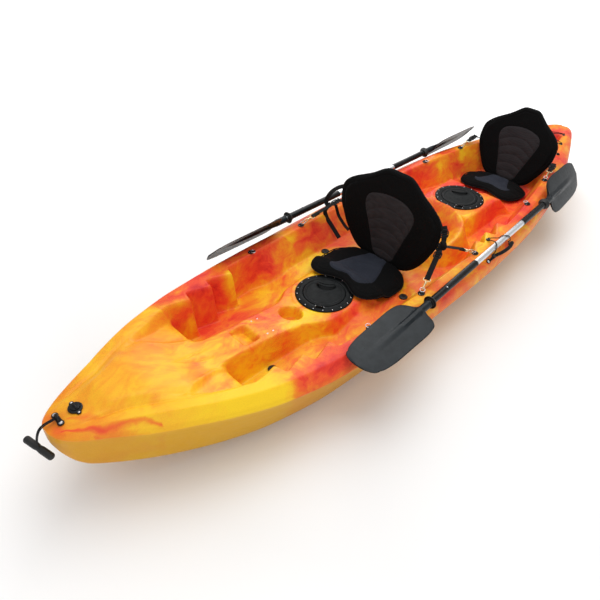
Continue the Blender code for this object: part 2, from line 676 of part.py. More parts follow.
def make_paddle_bungee(word, side):
    """An elastic cord from one handle tab over the shaft, round its screw, and back to the other."""
    route = [Vector((side * 0.4365, 0.146, 0.2975)), Vector((side * 0.4435, 0.152, 0.313))]
    for y, turns in ((0.180, (25, 60, 95, 130, 160)), (0.268, (160, 130, 95, 60, 25))):
        for k, angle in enumerate(turns):
            rise = math.radians(angle)
            centre = shaft_point(word, y + 0.011 * (k - 2))
            reach = Vector((side * math.cos(rise), 0, math.sin(rise)))
            route.append(centre + 0.0182 * reach)
        if y < 0.2:
            route += side_line([(0.380, 0.222, 0.3225), (0.3655, 0.2335, 0.3150), (0.3610, 0.2430, 0.3145),
                                (0.3655, 0.2500, 0.3150), (0.380, 0.2490, 0.3235)], side)
    route += [Vector((side * 0.4425, 0.303, 0.315)), Vector((side * 0.4345, 0.3085, 0.3010))]
    return cord(f"paddle_bungee_{word}", smooth_route(route, 0.008), 0.0021, BUNGEE)


# ---------------------------------------------------------------- seats and straps


def make_pad(name, front, back, half_width, base_at, mat):
    rings = []
    for k in range(13):
        t = -1 + k / 6
        x = half_width * math.sin(t * math.pi / 2)
        share = abs(x) / half_width
        slim = math.sqrt(max(0.0, 1 - share ** 4))
        near = front + float(np.interp(share, PAD_LOBES[0], PAD_LOBES[1])) * (back - front)
        far = back - (back - front) * 0.30 * share ** 4
        thick = PAD_THICKNESS * (0.35 + 0.65 * slim)
        ring = []
        short = min(1.0, (far - near) / 0.15)
        inner, middle, outer = near + 0.055 * short, near + 0.105 * short, far - 0.03 * short
        for y, low, high in ((near, 0.35, 0.35), (near + 0.012, 0.0, 0.85), (inner, 0.0, 1.0), (middle, 0.0, 1.0),
                             (0.5 * (middle + far), 0.0, 1.0), (outer, 0.0, 1.0), (far - 0.008, 0.0, 0.85),
                             (far, 0.35, 0.6)):
            ring.append((y, base_at(y) + low * thick, base_at(y) + high * thick))
        lower = [(x, y, low) for y, low, _ in ring]
        upper = [(x, y, high) for y, _, high in reversed(ring[1:])]
        rings.append(lower + upper)
    return loft(name, rings, mat)


def make_back(name, y0, tilt, shape, wings, mat):
    """A shaped backrest standing on its lower edge, its wings curved forward."""
    slope = math.radians(tilt)
    rings = []
    low, high = shape[0][0], shape[-1][0]
    for k in range(15):
        s = low + (high - low) * (1 - math.cos(math.pi * k / 14)) / 2
        width = float(along(s, shape))
        slim = 1.0 if 0 < k < 14 else 0.4
        front, rear = [], []
        for j in range(9):
            t = -1 + j / 4
            x = width * math.sin(t * math.pi / 2)
            bend = -wings * (abs(x) / BACK_HALF_WIDTH) ** 2
            half = 0.5 * BACK_THICKNESS * slim * (1 - 0.75 * abs(t) ** 6)
            front.append((x, bend - half))
            rear.append((x, bend + half))
        ring = front + rear[::-1]
        rings.append([(x, y0 + d * math.cos(slope) + s * math.sin(slope), 0.26 + s * math.cos(slope)
                       - d * math.sin(slope)) for x, d in ring])
    return loft(name, rings, mat)


def make_strap(name, start, hole):
    """Flat webbing from the backrest to a snap hook clipped in a deck eye's ring."""
    way = (start - hole).normalized()
    cross = way.cross(Vector((0, 0, 1))).normalized()
    up = cross.cross(way)
    clip = hole + RING_RADIUS * way

    def link(near, far, half, plane, bar, label, sides):
        points = []
        for k in range(12):
            a = 2 * math.pi * k / 12
            reach = 0.5 * (near + far) + 0.5 * (far - near) * math.cos(a)
            points.append(clip + reach * way + half * math.copysign(abs(math.sin(a)) ** 0.6, math.sin(a)) * plane)
        return tube(label, points, bar, BRASS, closed=True, sides=sides)

    hook = link(0.0, 0.032, 0.0065, up, 0.0020, f"{name}_hook", 6)
    join(hook, tube(f"{name}_swivel", [clip + 0.0315 * way, clip + 0.050 * way], 0.0036, BRASS, sides=8))
    join(hook, link(0.049, 0.062, 0.0135, cross, 0.0018, f"{name}_ring", 6))
    path = [clip + 0.0645 * way, start.lerp(clip, 0.4), start]
    rings = []
    for point in path:
        rings.append([point + a * 0.0125 * cross + b * 0.0011 * up for a, b in ((-1, -1), (1, -1), (1, 1), (-1, 1))])
    strap = loft(f"{name}_strap", rings, WEBBING)
    return strap, hook


# ---------------------------------------------------------------- paddles


def shaft_line(word):
    """The shaft's two drip-ring centres, front and rear."""
    return [Vector(p) for p in SHAFTS[word]]


def shaft_point(word, y):
    front, rear = shaft_line(word)
    return front.lerp(rear, (y - front.y) / (rear.y - front.y))


def make_blade(name, centre, way, roll, bend):
    """One blade from its socket to its tip, with a spine that fades towards the tip."""
    side = Vector((0, 0, 1)).cross(way).normalized()
    up = way.cross(side)
    wide = math.cos(roll) * side + math.sin(roll) * up
    face = way.cross(wide)
    rings = []
    for s in (0.006, 0.03, 0.05, 0.065, 0.085, 0.115, 0.17, 0.25, 0.33, 0.40, 0.44, 0.462, 0.475):
        width = float(along(s, BLADE_WIDTH))
        spine = float(along(s, BLADE_SPINE))
        edge = float(along(s, BLADE_EDGE))
        axis = centre + s * way + bend * s * s * face
        core = min(width, max(spine, 0.006))
        ring = []
        for k in range(12):
            a = 2 * math.pi * k / 12
            u, v = math.cos(a), math.sin(a)
            if k in (0, 6):
                offset = width * u * wide
            elif k in (1, 5, 7, 11):
                offset = 0.62 * (width + core) * math.copysign(0.8, u) * wide + math.copysign(edge, v) * face
                if width < 0.02:
                    offset = width * (u * wide + v * face)
            else:
                offset = core * u * wide + (spine if width >= 0.02 else width) * v * face
            ring.append(axis + offset)
        rings.append(ring)
    blade = loft(name, rings, BLADE)
    bore = tube(name + "_bore", [centre - 0.01 * way, centre + 0.045 * way], SHAFT_RADIUS + 0.0007, BLADE, sides=16)
    cut(blade, bore)
    return blade


def make_ring(name, centre, way):
    """A cupped rubber drip ring round the shaft."""
    bore = SLEEVE_RADIUS + 0.0006
    ring = turned(name, [(bore, -0.010), (0.0205, -0.010), (0.030, 0.004), (0.0285, 0.007), (0.0205, 0.000),
                         (bore, 0.010)], RUBBER, 16)
    ring.matrix_world = Matrix.Translation(centre) @ way.to_track_quat("Z", "Y").to_matrix().to_4x4()
    return ring


def make_paddle(word, rolls, bends):
    front, rear = shaft_line(word)
    way = (rear - front).normalized()
    start, end = front - 0.030 * way, rear + 0.030 * way
    shaft = tube(f"paddle_shaft_{word}", [start, end], SHAFT_RADIUS, ALUMINIUM, sides=16)
    loose_blade = make_blade(f"paddle_blade_{word}_front", front, -way, math.radians(rolls[0]), bends[0])
    pivot(loose_blade, front)
    make_blade(f"paddle_blade_{word}_rear", rear, way, math.radians(rolls[1]), bends[1])
    make_ring(f"drip_ring_{word}_front", front + 0.020 * way, -way)
    make_ring(f"drip_ring_{word}_rear", rear - 0.020 * way, way)

    spot = shaft_point(word, BUTTON_Y)
    side = 1 if word == "port" else -1
    out = (Vector((0.35 * side, -0.2, 0.9)) - way * way.dot(Vector((0.35 * side, -0.2, 0.9)))).normalized()
    aim = out.to_track_quat("Z", "Y").to_matrix().to_4x4()
    seat = turned(f"button_hole_{word}", [(0, 0.006), (0.0045, 0.006), (0.0045, 0.03), (0, 0.03)], ALUMINIUM, 12)
    seat.matrix_world = Matrix.Translation(spot) @ aim
    cut(shaft, seat)
    button = turned(f"paddle_button_{word}", [(0, 0.0110), (0.0041, 0.0110), (0.0041, 0.0165), (0.003, 0.0180),
                                              (0, 0.0180)], STAINLESS, 12)
    button.matrix_world = Matrix.Translation(spot) @ aim
    make_sleeve(f"shaft_sleeve_{word}_front", front + 0.004 * way, shaft_point(word, BARE_FROM), button.matrix_world)
    make_sleeve(f"shaft_sleeve_{word}_rear", shaft_point(word, BARE_TO), rear - 0.004 * way, None)
    return shaft


def make_sleeve(name, start, end, opening):
    """A thin plastic sleeve over part of the shaft, open where the spring button comes through."""
    way = (end - start).normalized()
    inner, outer = SHAFT_RADIUS + 0.0004, SLEEVE_RADIUS
    length = (end - start).length
    sleeve = turned(name, [(inner, 0), (outer, 0), (outer, length), (inner, length)], NYLON, 16)
    sleeve.matrix_world = Matrix.Translation(start) @ way.to_track_quat("Z", "Y").to_matrix().to_4x4()
    if opening:
        hole = turned(name + "_hole", [(0, 0.006), (0.0060, 0.006), (0.0060, 0.03), (0, 0.03)], NYLON, 12)
        hole.matrix_world = opening
        cut(sleeve, hole)
    return sleeve


# ---------------------------------------------------------------- scupper plugs


def make_plug(name, x, y):
    around = [float(deck_height(x + dx, y + dy)) for dx in (-0.019, 0, 0.019) for dy in (-0.019, 0, 0.019)]
    plug = turned(name, [(0, -0.045), (SCUPPER_RADIUS - 0.0012, -0.045), (SCUPPER_RADIUS - 0.0006, 0.0006),
                         (0.0195, 0.0006), (0.0195, 0.0045), (0.015, 0.0065), (0, 0.0065)], RUBBER, 16)
    plug.location = (x, y, max(around))
    return plug


# ---------------------------------------------------------------- build

make_hull()
make_hatch("front", FRONT_HATCH_Y)
make_hatch("rear", REAR_HATCH_Y)
make_bow()


def front_base(y):
    return 0.167 + 0.0275 * (1 - float(ramp((y + 0.395) / 0.06)))


def rear_base(y):
    return 0.1845


make_pad("front_seat_pad", *FRONT_PAD, SEAT_HALF_WIDTH, front_base, FABRIC)
make_pad("rear_seat_pad", *REAR_PAD, REAR_SEAT_HALF_WIDTH, rear_base, FABRIC)
pivot(make_back("front_backrest", -0.113, 6, BACK_SHAPE, 0.030, FABRIC), FRONT_BACK_PIVOT)
pivot(make_back("rear_backrest", 1.118, 18, REAR_BACK_SHAPE, 0.035, FABRIC), REAR_BACK_PIVOT)

pulls = {}
for name, (start, eye, side) in STRAPS.items():
    pulls[(eye, side)] = Vector(start)
    make_strap(name, Vector(start), eye_hole(EYE_STATIONS[eye], side))
for eye, y in enumerate(EYE_STATIONS):
    for side, word in ((1, "port"), (-1, "starboard")):
        make_eye(f"deck_eye_{word}_{eye + 1}", y, side, pulls.get((eye, side)))

for side, word in ((1, "port"), (-1, "starboard")):
    make_side_handle(word, side)
    make_paddle_bungee(word, side)
    for x, y in SCUPPERS:
        make_plug(f"scupper_plug_{word}_{'front' if y < -0.5 else 'seat'}", side * x, y)
make_paddle("port", (0, 58), (0.0, -0.10))
make_paddle("starboard", (50, -53), (0.0, 0.0))
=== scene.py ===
"""The kayak's looks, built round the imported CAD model."""

import json
import math

import bmesh
import bpy
import numpy as np
from mathutils import Matrix, Vector

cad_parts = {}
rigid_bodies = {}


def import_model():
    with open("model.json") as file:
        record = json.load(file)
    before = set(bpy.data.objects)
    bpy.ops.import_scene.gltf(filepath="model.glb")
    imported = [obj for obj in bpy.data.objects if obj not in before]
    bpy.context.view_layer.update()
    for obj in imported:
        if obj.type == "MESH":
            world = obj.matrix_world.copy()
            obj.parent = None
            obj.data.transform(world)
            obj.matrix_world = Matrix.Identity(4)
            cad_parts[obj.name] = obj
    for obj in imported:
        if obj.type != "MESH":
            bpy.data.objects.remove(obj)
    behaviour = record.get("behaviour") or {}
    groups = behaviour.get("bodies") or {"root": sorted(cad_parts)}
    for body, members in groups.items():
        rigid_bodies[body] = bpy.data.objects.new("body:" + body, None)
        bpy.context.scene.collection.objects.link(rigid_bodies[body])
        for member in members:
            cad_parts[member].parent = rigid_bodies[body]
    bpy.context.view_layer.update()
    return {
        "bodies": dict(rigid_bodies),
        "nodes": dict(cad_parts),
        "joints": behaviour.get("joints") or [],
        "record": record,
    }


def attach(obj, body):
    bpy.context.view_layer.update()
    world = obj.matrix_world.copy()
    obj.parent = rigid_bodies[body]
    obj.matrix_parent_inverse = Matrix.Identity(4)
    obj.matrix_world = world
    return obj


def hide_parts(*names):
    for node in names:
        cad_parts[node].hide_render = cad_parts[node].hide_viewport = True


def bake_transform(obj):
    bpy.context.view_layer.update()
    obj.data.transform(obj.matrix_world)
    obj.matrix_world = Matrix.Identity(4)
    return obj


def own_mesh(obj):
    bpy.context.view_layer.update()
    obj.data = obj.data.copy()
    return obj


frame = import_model()

# ------------------------------------------------------------------ the hull's lines, as in the CAD

GUNWALE_FLAT = 0.095
EDGE_DROP = 0.028
BAND_HEIGHT = 0.065
CONSOLE_WALL = 0.032
STEP_DEPTH = 0.05
STEP_FACE = 0.012
FRONT_STEPS = (-1.105, -0.978, -0.851)
REAR_STEPS = (0.205, 0.305, 0.42)
DISH_Y = 0.17
DISH_RADIUS = 0.225
DISH_FLOOR = 0.185
CUP_Y = -0.77
CUP_RADIUS = 0.048
CUP_DEPTH = 0.09
POCKET = (0.052, -1.078, -0.998)
HATCHES = {"front": (-0.554, 0.190), "rear": (0.56, 0.267)}
HATCH_HOLE = 0.1065
SHAFT_RADIUS = 0.0145
EYE_STATIONS = (-0.68, -0.338, 0.10, 0.686, 0.986)
EYE_INSET = 0.085
RING_RADIUS = 0.011
SCUPPERS = ((0.135, -1.005), (0.25, -0.275))
SHAFTS = {
    "port": ((0.4490, -0.408, 0.3215), (0.4050, 0.735, 0.3410)),
    "starboard": ((-0.4210, -0.398, 0.3330), (-0.4000, 0.780, 0.3340)),
}
SIDES = ((1, "port"), (-1, "starboard"))

BEAM = (
    (-1.85, 0.018), (-1.838, 0.046), (-1.80, 0.086), (-1.70, 0.148), (-1.527, 0.245), (-1.35, 0.325),
    (-1.15, 0.388), (-0.857, 0.434), (-0.45, 0.454), (0.0, 0.458), (0.45, 0.443), (0.85, 0.392),
    (1.23, 0.302), (1.5, 0.21), (1.7, 0.13), (1.8, 0.085), (1.838, 0.055), (1.85, 0.03),
)
CROWN = ((-1.85, 0.366), (-1.7, 0.374), (-1.5, 0.362), (-1.2, 0.325), (-0.9, 0.300), (-0.5, 0.292),
         (0.0, 0.296), (0.5, 0.312), (0.9, 0.334), (1.3, 0.348), (1.6, 0.352), (1.85, 0.335))
KEEL = ((-1.85, 0.300), (-1.838, 0.262), (-1.81, 0.208), (-1.77, 0.165), (-1.6, 0.105), (-1.4, 0.060),
        (-1.1, 0.018), (-0.8, 0.0), (0.9, 0.0), (1.2, 0.014), (1.5, 0.062), (1.7, 0.120), (1.82, 0.190),
        (1.85, 0.250))
BILGE = ((-1.85, 0.312), (-1.838, 0.285), (-1.8, 0.225), (-1.65, 0.155), (-1.45, 0.112), (-1.2, 0.074),
         (-0.8, 0.045), (0.9, 0.045), (1.3, 0.078), (1.6, 0.135), (1.8, 0.205), (1.85, 0.275))
CENTRE = ((-1.85, 0.366), (-1.75, 0.378), (-1.55, 0.372), (-1.4, 0.326), (-1.2, 0.262), (-1.06, 0.244),
          (-0.93, 0.228), (-0.80, 0.204), (-0.705, 0.190), (-0.405, 0.190), (-0.375, 0.150), (-0.06, 0.150),
          (0.0, 0.175), (0.36, 0.2), (0.41, 0.267), (0.715, 0.267), (0.782, 0.180), (1.125, 0.180),
          (1.2, 0.300), (1.27, 0.300), (1.32, 0.255), (1.62, 0.255), (1.68, 0.340), (1.85, 0.332))
SIDE_FLOOR = ((-1.85, 0.366), (-1.75, 0.376), (-1.55, 0.366), (-1.4, 0.313), (-1.222, 0.252),
              (-1.19, 0.112), (-0.72, 0.110), (-0.5, 0.160), (0.0, 0.165), (0.12, 0.160), (0.56, 0.170),
              (0.76, 0.180), (1.125, 0.180), (1.2, 0.300), (1.27, 0.300), (1.32, 0.255), (1.62, 0.255),
              (1.68, 0.340), (1.85, 0.332))
CONSOLE = ((-1.85, 0.01), (-1.5, 0.10), (-1.42, 0.14), (-1.33, 0.11), (-1.25, 0.09), (-1.15, 0.076),
           (-0.8, 0.090), (-0.74, 0.105), (-0.655, 0.146), (-0.42, 0.150), (-0.36, 0.20), (-0.10, 0.20),
           (0.0, 0.14), (0.17, 0.10), (0.34, 0.10), (0.4, 0.155), (0.70, 0.16), (0.78, 0.215),
           (1.12, 0.2), (1.3, 0.1), (1.85, 0.01))
INNER_WALL = ((-1.85, 0.03), (-0.75, 0.03), (-0.55, 0.085), (-0.05, 0.085), (0.1, 0.03), (0.55, 0.03),
              (0.75, 0.07), (1.13, 0.06), (1.3, 0.03), (1.85, 0.03))


def along(y, stops):
    """Smooth curve through (y, value) stops that never overshoots them."""
    ys = np.array([stop[0] for stop in stops])
    values = np.array([stop[1] for stop in stops])
    steps = np.diff(ys)
    slopes = np.diff(values) / steps
    bends = np.zeros_like(values)
    inner = slopes[:-1] * slopes[1:]
    same_way = inner > 0
    bends[1:-1][same_way] = 2 * inner[same_way] / (slopes[:-1] + slopes[1:])[same_way]
    bends[0], bends[-1] = slopes[0], slopes[-1]
    y = np.clip(np.asarray(y, float), ys[0], ys[-1])
    at = np.clip(np.searchsorted(ys, y) - 1, 0, len(steps) - 1)
    t = (y - ys[at]) / steps[at]
    start = (1 + 2 * t) * (1 - t) ** 2 * values[at] + t * (1 - t) ** 2 * steps[at] * bends[at]
    end = t * t * (3 - 2 * t) * values[at + 1] - t * t * (1 - t) * steps[at] * bends[at + 1]
    return start + end


def ramp(t):
    t = np.clip(t, 0, 1)
    return t * t * (3 - 2 * t)


def steps_in(y):
    """How far the stepped foot braces stand in from the gunwale's inner edge."""
    y = np.asarray(y, float)
    reach = np.zeros_like(y)
    for faces in (FRONT_STEPS, REAR_STEPS):
        pitch = (faces[-1] - faces[0]) / (len(faces) - 1)
        for face in faces:
            rise = np.clip(1 - (face - y) / (pitch - STEP_FACE), 0, 1)
            fall = np.clip(1 - (y - face) / STEP_FACE, 0, 1)
            reach = np.maximum(reach, STEP_DEPTH * np.where(y <= face, rise, fall))
    return reach


def narrow(y):
    """Shrinks the gunwale's widths where the hull is slim, near its ends."""
    return np.minimum(1, along(y, BEAM) / 0.2)


def inner_edge(y):
    return along(y, BEAM) - GUNWALE_FLAT * narrow(y) - steps_in(y)


def crown_height(x, y):
    """The gunwale's top: level, then a bevel down to the outer edge."""
    bevel = (np.abs(x) - along(y, BEAM) + 0.06 * narrow(y)) / (0.05 * narrow(y))
    return along(y, CROWN) - EDGE_DROP * narrow(y) * np.clip(bevel, 0, 1) ** 1.3


def dish_height(x, y):
    """The round child's seat amidships, whose rim rises towards the rear hatch."""
    reach = np.hypot(x, y - DISH_Y)
    rim = 0.22 + 0.08 * ramp((y + 0.06) / 0.40)
    inside = DISH_FLOOR + (rim - DISH_FLOOR) * ramp((reach - 0.12) / (DISH_RADIUS - 0.12))
    spread = 0.022 + 0.05 * np.minimum(1, np.abs(x) / DISH_RADIUS)
    outside = rim - (rim - 0.12) * np.clip((reach - DISH_RADIUS) / spread, 0, 1)
    return np.where(reach < DISH_RADIUS, inside, outside), reach


def deck_height(x, y):
    """The moulded deck: gunwales, foot wells, console, seat pans, dish and tank well."""
    x, y = np.broadcast_arrays(np.asarray(x, float), np.asarray(y, float))
    across = np.abs(x)
    centre, floor = along(y, CENTRE), along(y, SIDE_FLOOR)
    console = along(y, CONSOLE)
    middle = floor + (centre - floor) * (1 - np.clip((across - console) / CONSOLE_WALL, 0, 1))
    dish, reach = dish_height(x, y)
    middle = np.where(reach < DISH_RADIUS, dish, np.maximum(middle, dish))
    edge = inner_edge(y)
    wall = along(y, INNER_WALL) * narrow(y)
    rise = np.clip((across - edge + wall) / wall, 0, 1)
    lip = crown_height(edge, y)
    inside = np.maximum(middle, floor + (lip - floor) * rise)
    return np.where(across < edge, inside, crown_height(x, y))


# ------------------------------------------------------------------ mesh helpers


def put_in_scene(obj):
    bpy.context.scene.collection.objects.link(obj)
    return obj


def shift(x, y, z):
    return Matrix.Translation((x, y, z))


def dress(name, mesh, body, mats, replaces=(), sharp=None):
    """Makes an object of a mesh, gives it its materials and lets it ride on its body."""
    obj = put_in_scene(bpy.data.objects.new(name, mesh))
    for mat in mats if isinstance(mats, (list, tuple)) else [mats]:
        mesh.materials.append(mat)
    mesh.shade_smooth()
    if sharp:
        mesh.set_sharp_from_angle(angle=math.radians(sharp))
    if body:
        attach(obj, body)
    if replaces:
        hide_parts(*([replaces] if isinstance(replaces, str) else replaces))
    return obj


class Shape:
    """Collects the pieces of one mesh, each with its own place in it."""

    def __init__(self):
        self.verts = []
        self.faces = []
        self.marks = []

    def add(self, verts, faces, matrix=None, mark=0):
        base = len(self.verts)
        for v in verts:
            self.verts.append(matrix @ Vector(v) if matrix else Vector(v))
        self.faces += [tuple(base + i for i in face) for face in faces]
        self.marks += [mark] * len(faces)
        return self

    def make(self, name, body, mats, slot=None, replaces=(), sharp=35):
        mesh = bpy.data.meshes.new(name)
        mesh.from_pydata([tuple(v) for v in self.verts], [], self.faces)
        mesh.polygons.foreach_set("material_index", self.marks)
        bm = bmesh.new()
        bm.from_mesh(mesh)
        bmesh.ops.recalc_face_normals(bm, faces=bm.faces)
        bm.to_mesh(mesh)
        bm.free()
        return dress(name, mesh, body, mats, replaces, sharp)


def rings_faces(rings, count, closed=False, caps=True):
    faces = []
    for r in range(rings if closed else rings - 1):
        n = (r + 1) % rings
        for i in range(count):
            j = (i + 1) % count
            faces.append((r * count + i, r * count + j, n * count + j, n * count + i))
    if caps and not closed:
        faces.append(tuple(reversed(range(count))))
        faces.append(tuple(range((rings - 1) * count, rings * count)))
    return faces


def lathe(profile, segments=48, closed_profile=True):
    """(verts, faces) of a profile of (radius, height) turned about Z. Points on the axis become one vertex."""
    verts, index = [], []
    for radius, height in profile:
        if radius < 1e-7:
            index.append([len(verts)] * segments)
            verts.append((0, 0, height))
            continue
        index.append(list(range(len(verts), len(verts) + segments)))
        for k in range(segments):
            a = 2 * math.pi * k / segments
            verts.append((radius * math.cos(a), radius * math.sin(a), height))
    faces = []
    count = len(profile)
    for i in range(count if closed_profile else count - 1):
        a, b = index[i], index[(i + 1) % count]
        if a[0] == a[1] and b[0] == b[1]:
            continue
        for k in range(segments):
            n = (k + 1) % segments
            face = [a[k], a[n], b[n], b[k]]
            faces.append(tuple(dict.fromkeys(face)))
    return verts, faces


def curve_points(points, spacing, closed=False):
    """Evenly spaced points on a Catmull-Rom curve through the given ones."""
    points = [Vector(p) for p in points]
    if closed:
        padded = [points[-1]] + points + [points[0], points[1]]
    else:
        padded = [2 * points[0] - points[1]] + points + [2 * points[-1] - points[-2]]
    fine = []
    for i in range(1, len(padded) - 2):
        a, b, c, d = padded[i - 1:i + 3]
        for k in range(16):
            t = k / 16
            fine.append(0.5 * (2 * b + (c - a) * t + (2 * a - 5 * b + 4 * c - d) * t * t
                               + (3 * b - a - 3 * c + d) * t ** 3))
    fine.append(points[0] if closed else points[-1])
    gaps = np.array([(b - a).length for a, b in zip(fine, fine[1:])])
    travelled = np.concatenate([[0], np.cumsum(gaps)])
    count = max(2, round(travelled[-1] / spacing))
    goals = np.linspace(0, travelled[-1], count + 1)
    array = np.array([tuple(p) for p in fine])
    route = [Vector([np.interp(g, travelled, array[:, k]) for k in range(3)]) for g in goals]
    return route[:-1] if closed else route


def frames_along(points, closed=False, up=(0, 0, 1)):
    """(point, way, side, rise) at each point, turning as little as possible."""
    out = []
    count = len(points)
    rise = Vector(up)
    for i, point in enumerate(points):
        before = points[i - 1] if i or closed else points[0]
        after = points[(i + 1) % count] if i < count - 1 or closed else points[-1]
        way = (after - before).normalized()
        side = way.cross(rise)
        if side.length < 1e-4:
            side = way.cross(Vector((1, 0, 0)))
        side.normalize()
        rise = side.cross(way).normalized()
        out.append((point, way, side, rise))
    return out


def sweep(points, radius, sides=12, closed=False, up=(0, 0, 1), scale=None, caps=True):
    """A round bar along points; radius may be a function of the share along it."""
    verts = []
    framed = frames_along(points, closed, up)
    for i, (point, _, side, rise) in enumerate(framed):
        share = i / max(1, len(framed) - 1)
        r = radius(share) if callable(radius) else radius
        sx, sy = scale if scale else (1, 1)
        for k in range(sides):
            a = 2 * math.pi * (k + 0.5) / sides
            verts.append(point + r * (sx * math.cos(a) * side + sy * math.sin(a) * rise))
    return verts, rings_faces(len(framed), sides, closed, caps)


def ribbon(points, width, thickness, normals, edge=3):
    """Flat webbing along points. Each normal is the webbing's face there."""
    profile = []
    half, thick = width / 2, thickness / 2
    for sx, sy in ((1, 1), (-1, 1), (-1, -1), (1, -1)):
        for k in range(edge):
            a = {(1, 1): 0, (-1, 1): 90, (-1, -1): 180, (1, -1): 270}[(sx, sy)] + 90 * k / (edge - 1)
            a = math.radians(a)
            profile.append((sx * (half - thick) + thick * math.cos(a), thick * math.sin(a)))
    verts = []
    count = len(points)
    for i, point in enumerate(points):
        way = (points[min(i + 1, count - 1)] - points[max(i - 1, 0)]).normalized()
        normal = Vector(normals[i] if isinstance(normals, list) else normals)
        side = way.cross(normal).normalized()
        rise = side.cross(way).normalized()
        for u, v in profile:
            verts.append(point + u * side + v * rise)
    return verts, rings_faces(count, len(profile))


def box_shape(size, bevel=0.0008, steps=2):
    bm = bmesh.new()
    bmesh.ops.create_cube(bm, size=1, matrix=Matrix.Diagonal((*size, 1)))
    bmesh.ops.bevel(bm, geom=bm.edges, offset=bevel, segments=steps, profile=0.5, affect="EDGES")
    verts = [v.co.copy() for v in bm.verts]
    faces = [tuple(v.index for v in f.verts) for f in bm.faces]
    bm.free()
    return verts, faces


def at(location, axis=(0, 0, 1), spin=0.0):
    """A matrix that stands something up along an axis at a place."""
    turn = Vector(axis).to_track_quat("Z", "Y").to_matrix().to_4x4()
    return Matrix.Translation(Vector(location)) @ turn @ Matrix.Rotation(spin, 4, "Z")


def grid_faces(rows, columns):
    """Quads of a grid whose vertices run row by row."""
    r, c = np.meshgrid(np.arange(rows - 1), np.arange(columns - 1), indexing="ij")
    a = (r * columns + c).ravel()
    return np.stack([a, a + 1, a + columns + 1, a + columns], 1)


def mesh_from_arrays(name, verts, quads):
    mesh = bpy.data.meshes.new(name)
    mesh.vertices.add(len(verts))
    mesh.vertices.foreach_set("co", np.asarray(verts, np.float32).ravel())
    mesh.loops.add(len(quads) * 4)
    mesh.loops.foreach_set("vertex_index", np.asarray(quads, np.int32).ravel())
    mesh.polygons.add(len(quads))
    mesh.polygons.foreach_set("loop_start", np.arange(0, len(quads) * 4, 4, dtype=np.int32))
    mesh.update(calc_edges=True)
    mesh.validate()
    return mesh


# ------------------------------------------------------------------ materials


